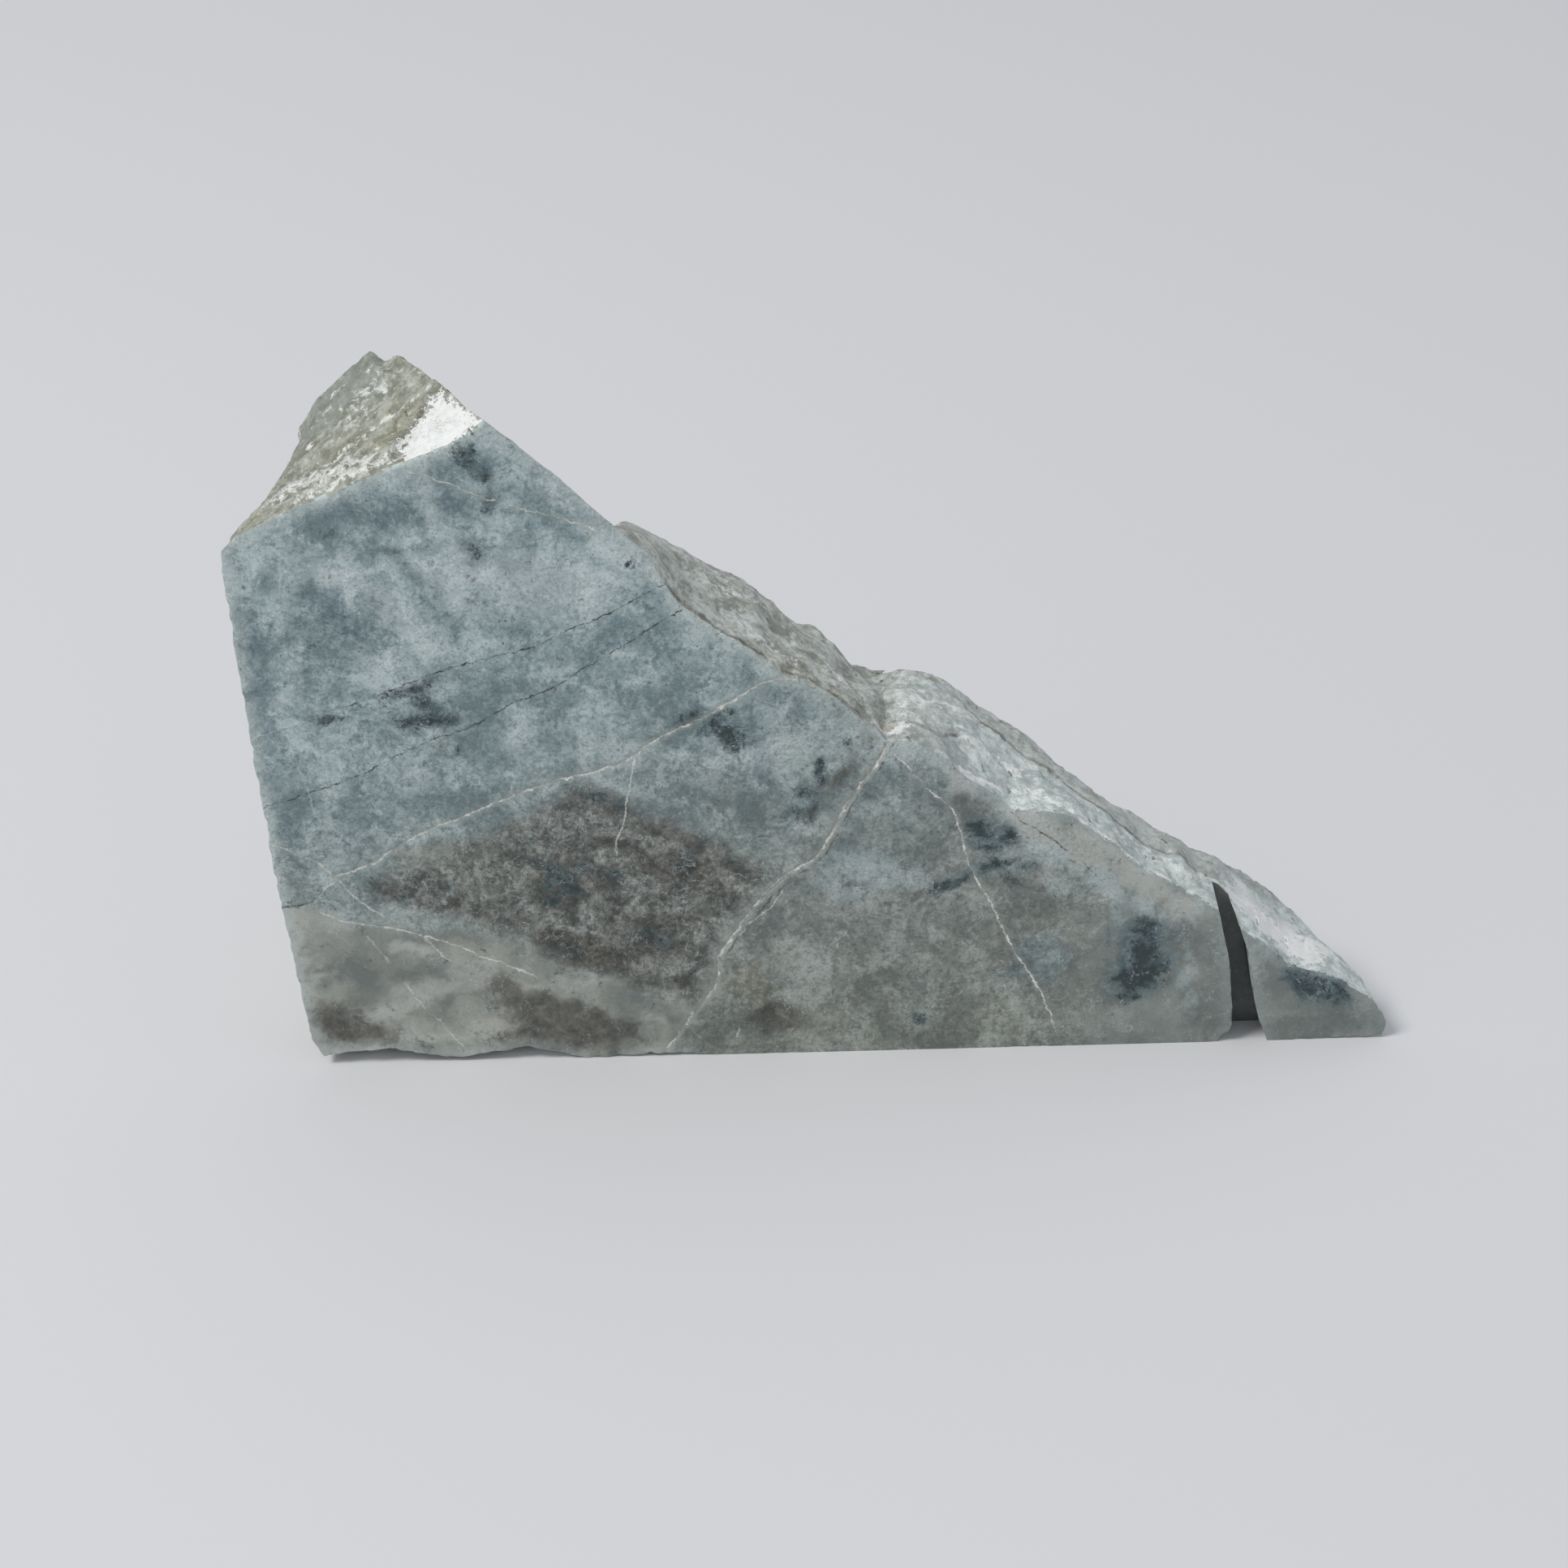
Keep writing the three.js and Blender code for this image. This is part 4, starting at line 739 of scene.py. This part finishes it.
def makeThreadGroup():
    # Fine crooked threads, as of fibres seen end on
    tree, takes, gives = newGroup("stoneThreads", [
        ("Bent", vector, None), ("Size", number, 1.0), ("Width", number, 0.02)], [("Mask", number)])
    size = calc(tree, "DIVIDE", 1.0, takes["Size"])
    field = noiseAt(tree, takes["Bent"], size, 5.0, 0.62)["Fac"]
    off = calc(tree, "ABSOLUTE", calc(tree, "SUBTRACT", field, 0.5))
    tree.links.new(ramp(tree, off, takes["Width"], 0.0), gives["Mask"])
    return tree


def makeTintGroup():
    # Three colours of one kind of stone, laid over the mottling
    tree, takes, gives = newGroup("jadeTint", [
        ("Cloud", number, 0.5), ("Dark", paint, (0.1, 0.1, 0.1, 1)), ("Mid", paint, (0.3, 0.3, 0.3, 1)),
        ("Light", paint, (0.6, 0.6, 0.6, 1))], [("Color", paint)])
    low = mixColour(tree, ramp(tree, takes["Cloud"], 0.36, 0.50, kind="LINEAR"), takes["Dark"], takes["Mid"])
    full = mixColour(tree, ramp(tree, takes["Cloud"], 0.50, 0.65, kind="LINEAR"), low, takes["Light"])
    tree.links.new(full, gives["Color"])
    return tree


jadeBody = {"ior": 1.6, "glow": 0.1, "glowTint": (1.0, 1.05, 1.0), "glowReach": 0.0007}


def startMaterial(name, rough):
    material = bpy.data.materials.new(name)
    material.use_nodes = True
    tree = material.node_tree
    tree.nodes.clear()
    out = tree.nodes.new("ShaderNodeOutputMaterial")
    shader = add(tree, "ShaderNodeBsdfPrincipled", {
        "Roughness": rough, "IOR": jadeBody["ior"], "Subsurface Weight": jadeBody["glow"],
        "Subsurface Radius": jadeBody["glowTint"], "Subsurface Scale": jadeBody["glowReach"]})
    tree.links.new(shader.outputs[0], out.inputs[0])
    where = tree.nodes.new("ShaderNodeTexCoord")
    return material, tree, shader, useGroup(tree, "point", {"Object": where.outputs["Object"]})


def raiseSkin(tree, shader, height, strength):
    # Height in mm
    bump = add(tree, "ShaderNodeBump", {"Strength": strength, "Distance": 0.001, "Height": height})
    tree.links.new(bump.outputs[0], shader.inputs["Normal"])


def stain(tree, place, name, facts):
    # Facts: how frayed and how crumbled it is, where it starts and is full, its strength
    frayed, crumbled, start, full, strength = facts
    return useGroup(tree, "stain", {
        "Mark": mark(tree, name), "Fray": place["Fray"], "Crumbs": place["Crumbs"], "Frayed": frayed,
        "Crumbled": crumbled, "From": start, "To": full, "Strength": strength})["Mask"]


def clouds(tree, place, size, speckle):
    return useGroup(tree, "clouds", {"Bent": place["Bent"], "Crumbs": place["Crumbs"], "Size": size,
                                     "Speckle": speckle})["Cloud"]


def threads(tree, place, size, width):
    return useGroup(tree, "threads", {"Bent": place["Bent"], "Size": size, "Width": width})["Mask"]


def tint(tree, cloud, colours):
    dark, mid, light = colours
    return useGroup(tree, "tint", {"Cloud": cloud, "Dark": dark, "Mid": mid, "Light": light})["Color"]


def drawVein(tree, axes, vein, wobble):
    # A curve takes and gives 0 to 1, so x and z are shares of this width and height in mm
    wide, tall = 60.0, 40.0
    pairs = sorted((x / wide, z / tall) if vein["across"] else (z / tall, x / wide)
                   for x, z in vein["points"])
    line = tree.nodes.new("ShaderNodeFloatCurve")
    curve = line.mapping.curves[0]
    while len(curve.points) < len(pairs):
        curve.points.new(0.5, 0.5)
    for spot, pair in zip(curve.points, pairs):
        spot.location = pair
        spot.handle_type = "AUTO"
    line.mapping.update()
    if not vein["across"]:
        axes, wide, tall = axes[::-1], tall, wide
    tree.links.new(calc(tree, "DIVIDE", axes[0], wide), line.inputs["Value"])
    first, last = pairs[0], pairs[-1]
    slope = abs(last[1] - first[1]) * tall / (abs(last[0] - first[0]) * wide)
    return useGroup(tree, "vein", {
        "Along": axes[0], "Aside": axes[1], "Line": times(tree, line.outputs[0], tall),
        "From": first[0] * wide, "To": last[0] * wide, "Broken": wobble,
        "Width": vein["width"] * math.sqrt(1 + slope * slope), "Strength": vein["strength"]})


sawnFinish = {
    "blue": (tone(102, 120, 124), tone(134, 150, 152), tone(170, 183, 184)),
    "grey": (tone(96, 101, 96), tone(119, 123, 116), tone(148, 152, 144)),
    "calm": (tone(92, 100, 98), tone(110, 117, 114), tone(134, 141, 137)),
    "brown": (tone(64, 65, 60), tone(107, 108, 103), tone(154, 158, 153)),
    "milk": (tone(104, 109, 105), tone(134, 137, 130), tone(160, 162, 155)),
    "pale": (tone(148, 160, 161), tone(168, 179, 180), tone(190, 198, 197)),
    "slate": (tone(62, 80, 86), tone(92, 111, 117), tone(128, 144, 147)),
    "stain": (tone(50, 48, 43), tone(74, 71, 64), tone(100, 97, 89)),
    "sand": (tone(92, 93, 81), tone(122, 123, 111), tone(154, 155, 144)),
    "shade": (tone(44, 60, 63), tone(68, 86, 89), tone(104, 120, 121)),
    "ink": tone(38, 52, 53), "vein": tone(206, 207, 200), "hairline": tone(56, 58, 54),
    "rim": tone(176, 184, 182), "web": tone(178, 189, 189), "halo": tone(146, 149, 143),
    "glow": tone(168, 170, 164), "thread": tone(48, 56, 56),
}
sawnStains = {
    "pale": (0.5, 0.2, 0.05, 0.75, 0.85), "milk": (0.45, 0.0, -0.35, 0.6, 0.95),
    "slate": (0.6, 0.35, 0.2, 1.1, 0.85), "brown": (0.8, 0.3, -0.4, 1.1, 0.92),
    "spots": (0.6, 0.4, 0.1, 0.9, 0.7), "glow": (0.35, 0.0, 0.1, 0.9, 0.8),
    "deepBrown": (0.65, 0.55, 0.12, 1.1, 0.8), "sand": (0.6, 0.6, 0.3, 1.2, 0.75),
    "ink": (0.9, 0.95, 0.0, 1.12, 0.92), "inkCrumbs": (0.6, 1.7, 0.6, 1.35, 0.9),
    "inkAround": (0.9, 0.0, -0.1, 0.6, 1.0),
}


def makeSawnJade():
    material, tree, shader, place = startMaterial("sawnJade", 0.5)
    c = sawnFinish
    axes = axesOf(tree, place["Point"])
    wide = clouds(tree, place, 3.4, 0.75)
    close = clouds(tree, place, 1.5, 0.9)
    # bluer and lighter at the upper left, greyer towards the right foot
    drift = timesPlus(tree, axes[2], 0.045, times(tree, axes[0], -0.012))
    drift = timesPlus(tree, place["Fray"], 0.12, drift)
    blue = ramp(tree, drift, -0.3, 1.0)
    colour = mixColour(tree, blue, tint(tree, wide, c["grey"]), tint(tree, wide, c["blue"]))
    # pale seams between the cloudy cells of the upper part
    cells = add(tree, "ShaderNodeTexVoronoi", {"Vector": place["Bent"], "Scale": 0.24},
                feature="DISTANCE_TO_EDGE")
    web = timesPlus(tree, place["Fray"], 0.06, cells.outputs["Distance"])
    web = times(tree, ramp(tree, web, 0.13, 0.0, 0.0, 0.6), ramp(tree, wide, 0.42, 0.6))
    colour = mixColour(tree, times(tree, web, ramp(tree, blue, 0.2, 0.9, 0.3, 1.0)), colour, c["web"])

    # calmer towards the slot and on the tip
    calm = times(tree, ramp(tree, timesPlus(tree, place["Fray"], 1.5, axes[0]), 40.0, 47.0), 0.75)
    soft = grain(tree, place["Bent"], 3.6, 5.0, 0.55)
    colour = mixColour(tree, calm, colour, tint(tree, soft, c["calm"]))

    def laid(under, name, kind, cloud):
        return mixColour(tree, stain(tree, place, name, sawnStains[name]), under, tint(tree, cloud, c[kind]))

    colour = laid(colour, "pale", "pale", wide)
    clear = stain(tree, place, "milk", sawnStains["milk"])
    colour = mixColour(tree, clear, colour, tint(tree, soft, c["milk"]))
    colour = laid(colour, "slate", "slate", close)
    brown = stain(tree, place, "brown", sawnStains["brown"])
    colour = mixColour(tree, brown, colour, tint(tree, close, c["brown"]))
    colour = laid(colour, "spots", "grey", close)
    # painted glow: paler where light seems to shine through the clearer stone
    colour = mixColour(tree, stain(tree, place, "glow", sawnStains["glow"]), colour, c["glow"])
    colour = laid(colour, "deepBrown", "stain", close)
    colour = laid(colour, "sand", "sand", close)
    rim = ramp(tree, timesPlus(tree, place["Fray"], 0.7, mark(tree, "rim")), 1.0, 0.0)
    rim = times(tree, rim, ramp(tree, drift, -0.6, 0.6, 0.2, 0.6))
    colour = mixColour(tree, rim, colour, c["rim"])
    # ink: a dark cloud, with crumbs and threads of it in and around
    colour = laid(colour, "ink", "shade", close)
    colour = mixColour(tree, stain(tree, place, "ink", sawnStains["inkCrumbs"]), colour, c["ink"])
    around = stain(tree, place, "ink", sawnStains["inkAround"])
    # threads and crumbs of dark stone: around the ink, in the brown field, and a few elsewhere
    around = calc(tree, "MAXIMUM", around, times(tree, brown, 0.9))
    around = calc(tree, "MAXIMUM", around, ramp(tree, place["Fray"], 0.3, -0.5, 0.12, 0.6))
    quiet = calc(tree, "MAXIMUM", clear, calm)
    around = times(tree, around, ramp(tree, quiet, 0.0, 1.0, 0.75, 0.06))
    thin = times(tree, threads(tree, place, 0.8, 0.03), around)
    colour = mixColour(tree, thin, colour, c["thread"])
    light = times(tree, threads(tree, place, 2.8, 0.007), ramp(tree, wide, 0.4, 0.6, 0.1, 0.5))
    colour = mixColour(tree, light, colour, c["web"])
    crumbs = times(tree, ramp(tree, place["Crumbs"], 0.36, 0.62, 0.0, 0.9), around)
    colour = mixColour(tree, crumbs, colour, c["thread"])
    sugar = ramp(tree, grain(tree, place["Point"], 0.16, 3.0, 0.7), 0.3, 0.7, 0.82, 1.18, "LINEAR")
    colour = dimmed(tree, colour, sugar, ramp(tree, quiet, 0.0, 1.0, 1.0, 0.4))
    # veins over everything, each a little shaken
    shaken = axesOf(tree, shakenPoint(tree, place["Point"], 1.7, 0.72, 0.55))
    wobble = times(tree, calc(tree, "SUBTRACT", grain(tree, place["Point"], 0.9, 4.0, 0.7), 0.5), 5.0)
    sunk = 0.0
    for vein in veins.values():
        made = drawVein(tree, (shaken[0], shaken[2]), vein, wobble)
        if vein["halo"]:
            colour = mixColour(tree, times(tree, made["Halo"], vein["halo"]), colour, c["halo"])
        colour = mixColour(tree, made["Mask"], colour, c["hairline"] if vein["dark"] else c["vein"])
        if vein["depth"] > 0:
            sunk = calc(tree, "MINIMUM", sunk, times(tree, made["Mask"], -0.5 * vein["depth"]))
    # painted shade: the slot's walls are darker in colour, the more so the deeper into the slot
    colour = dimmed(tree, colour, ramp(tree, mark(tree, "slot"), 0.0, 1.0, 1.0, 0.6))
    tree.links.new(colour, shader.inputs["Base Color"])
    rough = ramp(tree, wide, 0.35, 0.7, 0.42, 0.6, "LINEAR")
    rough = timesPlus(tree, clear, -0.1, rough)
    tree.links.new(rough, shader.inputs["Roughness"])
    skin = timesPlus(tree, grain(tree, place["Point"], 0.2, 4.0, 0.7), 0.016, sunk)
    skin = timesPlus(tree, grain(tree, place["Point"], 2.2, 3.0, 0.5), 0.04, skin)
    skin = timesPlus(tree, thin, -0.02, skin)
    raiseSkin(tree, shader, skin, 0.6)
    return material


def makeDrawnGroup():
    # Coordinates drawn out along one way, for layered and streaky stone
    tree, takes, gives = newGroup("drawnGrain", [
        ("Point", vector, None), ("Way", vector, (1, 0, 0)), ("Keep", number, 0.25)], [("Drawn", vector)])
    along = add(tree, "ShaderNodeVectorMath", {0: takes["Point"], 1: takes["Way"]},
                operation="DOT_PRODUCT").outputs["Value"]
    less = times(tree, along, calc(tree, "SUBTRACT", takes["Keep"], 1.0))
    back = add(tree, "ShaderNodeVectorMath", {0: takes["Way"], "Scale": less}, operation="SCALE").outputs[0]
    drawn = add(tree, "ShaderNodeVectorMath", {0: takes["Point"], 1: back}, operation="ADD").outputs[0]
    tree.links.new(drawn, gives["Drawn"])
    return tree


def drawnPoint(tree, place, way, keep):
    return useGroup(tree, "drawn", {"Point": place["Bent"], "Way": Vector(way).normalized(),
                                    "Keep": keep})["Drawn"]


brokenFinish = {
    "stone": (tone(130, 132, 118, 0.92), tone(156, 159, 147, 0.92), tone(184, 187, 177, 0.92)),
    "olive": (tone(92, 88, 62, 0.86), tone(126, 122, 96, 0.86), tone(158, 155, 132, 0.86)),
    "plate": (tone(128, 134, 126, 0.95), tone(142, 148, 140, 0.95), tone(160, 165, 157, 0.95)),
    "facet": (tone(200, 203, 200, 0.95), tone(227, 229, 226, 0.95), tone(240, 242, 239, 0.95)),
    "white": tone(238, 240, 236, 0.92), "seam": tone(70, 70, 58, 0.9),
}
brokenStains = {
    "olive": (0.6, 1.1, 0.4, 1.25, 0.65), "glintAndPale": (0.5, 1.7, 0.45, 1.0, 0.9),
    "seam": (0.5, 0.9, 0.6, 1.1, 0.7), "facet": (0.5, 0.9, 0.05, 0.2, 1.0),
}


def makeBrokenJade():
    material, tree, shader, place = startMaterial("brokenJade", 0.55)
    c = brokenFinish
    leaf = drawnPoint(tree, place, rawStone["layerWay"], 0.2)
    close = clouds(tree, place, 1.3, 0.8)
    layer = grain(tree, leaf, 0.7, 6.0, 0.7)
    mixed = timesPlus(tree, calc(tree, "SUBTRACT", layer, 0.5), 0.8, close)
    colour = tint(tree, mixed, c["stone"])
    axes = axesOf(tree, place["Point"])
    # the smooth plate behind, at the left
    plate = times(tree, ramp(tree, timesPlus(tree, place["Fray"], 0.3, axes[1]), 4.8, 5.4),
                  ramp(tree, axes[0], 8.6, 7.4))
    plate = times(tree, plate, 0.85)
    colour = mixColour(tree, plate, colour, tint(tree, close, c["plate"]))
    olive = stain(tree, place, "olive", brokenStains["olive"])
    colour = mixColour(tree, olive, colour, tint(tree, mixed, c["olive"]))
    layered = ramp(tree, plate, 0.0, 0.8, 1.0, 0.15)
    crevice = times(tree, ramp(tree, grain(tree, leaf, 0.22, 4.0, 0.7), 0.38, 0.30, 0.0, 0.6), layered)
    colour = mixColour(tree, crevice, colour, c["seam"])
    # thin white flakes lie along the layers
    flakes = grain(tree, drawnPoint(tree, place, rawStone["layerWay"], 0.45), 0.45, 5.0, 0.7)
    flakes = ramp(tree, flakes, 0.60, 0.67)
    colour = mixColour(tree, times(tree, times(tree, flakes, layered), 0.6), colour, c["white"])
    # painted highlights: white glints on the flaky layers, with a few pale lines among them
    flaky = ramp(tree, grain(tree, leaf, 0.3, 4.0, 0.7), 0.42, 0.56, 0.3, 1.0)
    glintAndPale = times(tree, stain(tree, place, "glintAndPale", brokenStains["glintAndPale"]), flaky)
    colour = mixColour(tree, glintAndPale, colour, c["white"])
    colour = mixColour(tree, stain(tree, place, "seam", brokenStains["seam"]), colour, c["seam"])
    # the smooth facet: pale stone with a painted highlight in its colour, near white
    facet = stain(tree, place, "facet", brokenStains["facet"])
    colour = mixColour(tree, facet, colour, tint(tree, calc(tree, "ADD", close, 0.07), c["facet"]))
    # dark crumbs along the facet's broken side, and hair cracks across it
    side = calc(tree, "ABSOLUTE", calc(tree, "SUBTRACT", mark(tree, "facet"), 0.15))
    side = times(tree, ramp(tree, side, 0.75, 0.1), ramp(tree, axes[1], 0.15, 0.5))
    crumbs = times(tree, ramp(tree, place["Crumbs"], 0.25, 0.5), side)
    colour = mixColour(tree, times(tree, crumbs, 0.85), colour, c["seam"])
    hair = times(tree, threads(tree, place, 2.4, 0.012), facet)
    colour = mixColour(tree, times(tree, hair, 0.3), colour, c["seam"])
    tree.links.new(colour, shader.inputs["Base Color"])
    rough = ramp(tree, close, 0.3, 0.7, 0.4, 0.68, "LINEAR")
    tree.links.new(timesPlus(tree, facet, -0.2, rough), shader.inputs["Roughness"])
    height = timesPlus(tree, layer, 0.24, times(tree, place["Crumbs"], 0.03))
    height = times(tree, height, ramp(tree, facet, 0.0, 1.0, 1.0, 0.3))
    raiseSkin(tree, shader, height, 0.8)
    return material


rindFinish = {
    "skin": (tone(124, 126, 120, 0.62), tone(152, 156, 150, 0.62), tone(176, 181, 177, 0.62)),
    "clean": (tone(146, 155, 154, 0.62), tone(168, 176, 174, 0.62), tone(192, 199, 197, 0.62)),
    "tan": (tone(112, 104, 86, 0.62), tone(142, 136, 118, 0.62), tone(170, 165, 149, 0.62)),
    "seam": tone(76, 74, 65, 0.62), "white": tone(230, 234, 232, 0.68),
}
rindStains = {
    "olive": (0.5, 0.4, 0.3, 1.0, 0.75), "glintAndPale": (0.5, 0.8, 0.4, 0.9, 0.92),
    "seam": (0.5, 0.6, 0.55, 1.05, 0.8),
}


def makeRindJade():
    material, tree, shader, place = startMaterial("rindJade", 0.6)
    c = rindFinish
    axes = axesOf(tree, place["Point"])
    close = clouds(tree, place, 1.7, 0.9)
    drawn = drawnPoint(tree, place, rawStone["slopeWay"], 0.25)
    streaks = grain(tree, drawn, 0.8, 6.0, 0.72)
    broad = grain(tree, place["Bent"], 9.0, 4.0, 0.6)
    mixed = timesPlus(tree, calc(tree, "SUBTRACT", streaks, 0.5), 0.5, close)
    mixed = timesPlus(tree, calc(tree, "SUBTRACT", broad, 0.5), 0.5, mixed)
    # the slope past the lump is cleaner and bluer, as far back as the chamfer's ridge
    ridge = calc(tree, "MAXIMUM", 2.7, timesPlus(tree, axes[0], -0.52, 25.83))
    behind = calc(tree, "SUBTRACT", timesPlus(tree, place["Fray"], 0.15, axes[1]), ridge)
    clean = ramp(tree, timesPlus(tree, place["Fray"], 1.6, axes[0]), 31.0, 38.0)
    clean = times(tree, clean, ramp(tree, behind, 0.3, -0.1))
    tip = times(tree, ramp(tree, axes[0], 50.6, 51.2), ramp(tree, axes[1], 5.4, 4.2))
    clean = calc(tree, "MAXIMUM", clean, tip)
    skin = tint(tree, mixed, c["skin"])
    colour = mixColour(tree, times(tree, clean, 0.9), skin, tint(tree, close, c["clean"]))
    # the hidden back and flank: larger stains of the same kinds
    back = ramp(tree, axes[1], 8.0, 11.0)
    worn = times(tree, ramp(tree, broad, 0.48, 0.62, 0.0, 0.6), back)
    colour = mixColour(tree, worn, colour, tint(tree, mixed, c["tan"]))
    long = times(tree, threads(tree, place, 11.0, 0.005), times(tree, back, 0.8))
    colour = mixColour(tree, long, colour, c["seam"])
    olive = stain(tree, place, "olive", rindStains["olive"])
    colour = mixColour(tree, olive, colour, tint(tree, mixed, c["tan"]))
    lines = times(tree, ramp(tree, grain(tree, drawn, 0.3, 4.0, 0.7), 0.36, 0.29, 0.0, 0.45),
                  ramp(tree, clean, 0.0, 1.0, 1.0, 0.2))
    colour = mixColour(tree, lines, colour, c["seam"])
    thin = times(tree, threads(tree, place, 3.2, 0.008), ramp(tree, clean, 0.0, 1.0, 0.5, 0.25))
    colour = mixColour(tree, thin, colour, c["seam"])
    flecks = times(tree, ramp(tree, place["Crumbs"], 0.42, 0.7), 0.45)
    colour = mixColour(tree, flecks, colour, c["white"])
    # painted highlights where light glints on the rind, with a few pale lines
    colour = mixColour(tree, stain(tree, place, "glintAndPale", rindStains["glintAndPale"]), colour, c["white"])
    colour = mixColour(tree, stain(tree, place, "seam", rindStains["seam"]), colour, c["seam"])
    # a thin dark line along the chamfer's ridge: painted shade on the ridge's far side
    line = times(tree, ramp(tree, calc(tree, "ABSOLUTE", behind), 0.2, 0.04),
                 times(tree, ramp(tree, axes[0], 36.0, 38.0), ramp(tree, axes[0], 49.6, 49.0)))
    line = times(tree, line, ramp(tree, place["Fray"], -0.6, 0.3, 0.15, 0.7))
    colour = mixColour(tree, line, colour, c["seam"])
    # and the narrow face behind it is darker: painted shade, as it faces away from the light
    rearShade = times(tree, ramp(tree, behind, 0.0, 0.4), ramp(tree, axes[0], 36.0, 38.0))
    rearShade = times(tree, rearShade, ramp(tree, behind, 4.0, 2.0, 0.0, 0.35))
    colour = mixColour(tree, rearShade, colour, c["clean"][0])
    tree.links.new(colour, shader.inputs["Base Color"])
    rough = ramp(tree, close, 0.3, 0.7, 0.45, 0.75, "LINEAR")
    tree.links.new(rough, shader.inputs["Roughness"])
    height = timesPlus(tree, streaks, 0.16, times(tree, place["Crumbs"], 0.03))
    height = times(tree, height, ramp(tree, clean, 0.0, 1.0, 1.0, 0.5))
    pitted = times(tree, grain(tree, place["Point"], 1.1, 6.0, 0.7), times(tree, back, 0.4))
    height = calc(tree, "ADD", height, timesPlus(tree, long, -0.2, pitted))
    raiseSkin(tree, shader, height, 0.8)
    return material


# Building the picture

view = {
    "lens": 85.36, "sensor": 36,
    "near": 0.01, "far": 20,                 # metres
    "place": (25.667, -166.931, 108.974),    # mm from the face's corner
    "right": (0.99963, -0.02152, -0.01679),
    "up": (0.02512, 0.48445, 0.87446),
}


def makeCamera():
    data = bpy.data.cameras.new("view")
    data.lens = view["lens"]
    data.sensor_width = view["sensor"]
    data.clip_start = view["near"]
    data.clip_end = view["far"]
    camera = newObject("view", data)
    right = Vector(view["right"]).normalized()
    up = Vector(view["up"]).normalized()
    turn = Matrix((right, up, right.cross(up))).transposed().to_4x4()
    camera.matrix_world = Matrix.Translation((Vector(view["place"]) - corner) / 1000) @ turn
    bpy.context.scene.camera = camera


studio = {
    "sky": (0.93, 0.96, 1.0), "skyLevel": 0.50,
    "keyPlace": (-0.45, -0.20, 0.62), "keySize": 0.30, "keyPower": 3.0, "keyColour": (1.0, 0.985, 0.96),
    "keyAim": (0, 0, 0.012), "floor": (0.76, 0.765, 0.785), "floorRough": 0.9, "floorHalf": 6.0,
}


def makeStudio():
    scene = bpy.context.scene
    scene.view_settings.view_transform = "Standard"
    world = bpy.data.worlds.new("studioSky")
    scene.world = world
    world.use_nodes = True
    shade = world.node_tree.nodes["Background"]
    shade.inputs["Color"].default_value = studio["sky"] + (1.0,)
    shade.inputs["Strength"].default_value = studio["skyLevel"]
    mesh = bpy.data.meshes.new("floor")
    half = studio["floorHalf"]
    corners = [(-half, -half, 0), (half, -half, 0), (half, half, 0), (-half, half, 0)]
    mesh.from_pydata(corners, [], [(0, 1, 2, 3)])
    floor = newObject("floor", mesh)
    paper = bpy.data.materials.new("palePaper")
    paper.use_nodes = True
    shader = paper.node_tree.nodes["Principled BSDF"]
    shader.inputs["Base Color"].default_value = studio["floor"] + (1.0,)
    shader.inputs["Roughness"].default_value = studio["floorRough"]
    mesh.materials.append(paper)
    data = bpy.data.lights.new("key", "AREA")
    data.shape = "DISK"
    data.size = studio["keySize"]
    data.energy = studio["keyPower"]
    data.color = studio["keyColour"]
    lamp = newObject("key", data)
    lamp.location = studio["keyPlace"]
    lamp.rotation_mode = "QUATERNION"
    lamp.rotation_quaternion = (Vector(studio["keyAim"]) - lamp.location).to_track_quat("-Z", "Y")
    print("studio lit")


makeCamera()
makeStudio()
shared["point"] = makePointGroup()
shared["stain"] = makeStainGroup()
shared["vein"] = makeVeinGroup()
shared["clouds"] = makeCloudGroup()
shared["tint"] = makeTintGroup()
shared["threads"] = makeThreadGroup()
shared["drawn"] = makeDrawnGroup()

stone = makeStone(bpy.data.objects["raw_jade"])
for made in (makeSawnJade(), makeBrokenJade(), makeRindJade()):
    stone.data.materials.append(made)
print("finishes made")
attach(stone, "root")
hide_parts("raw_jade")
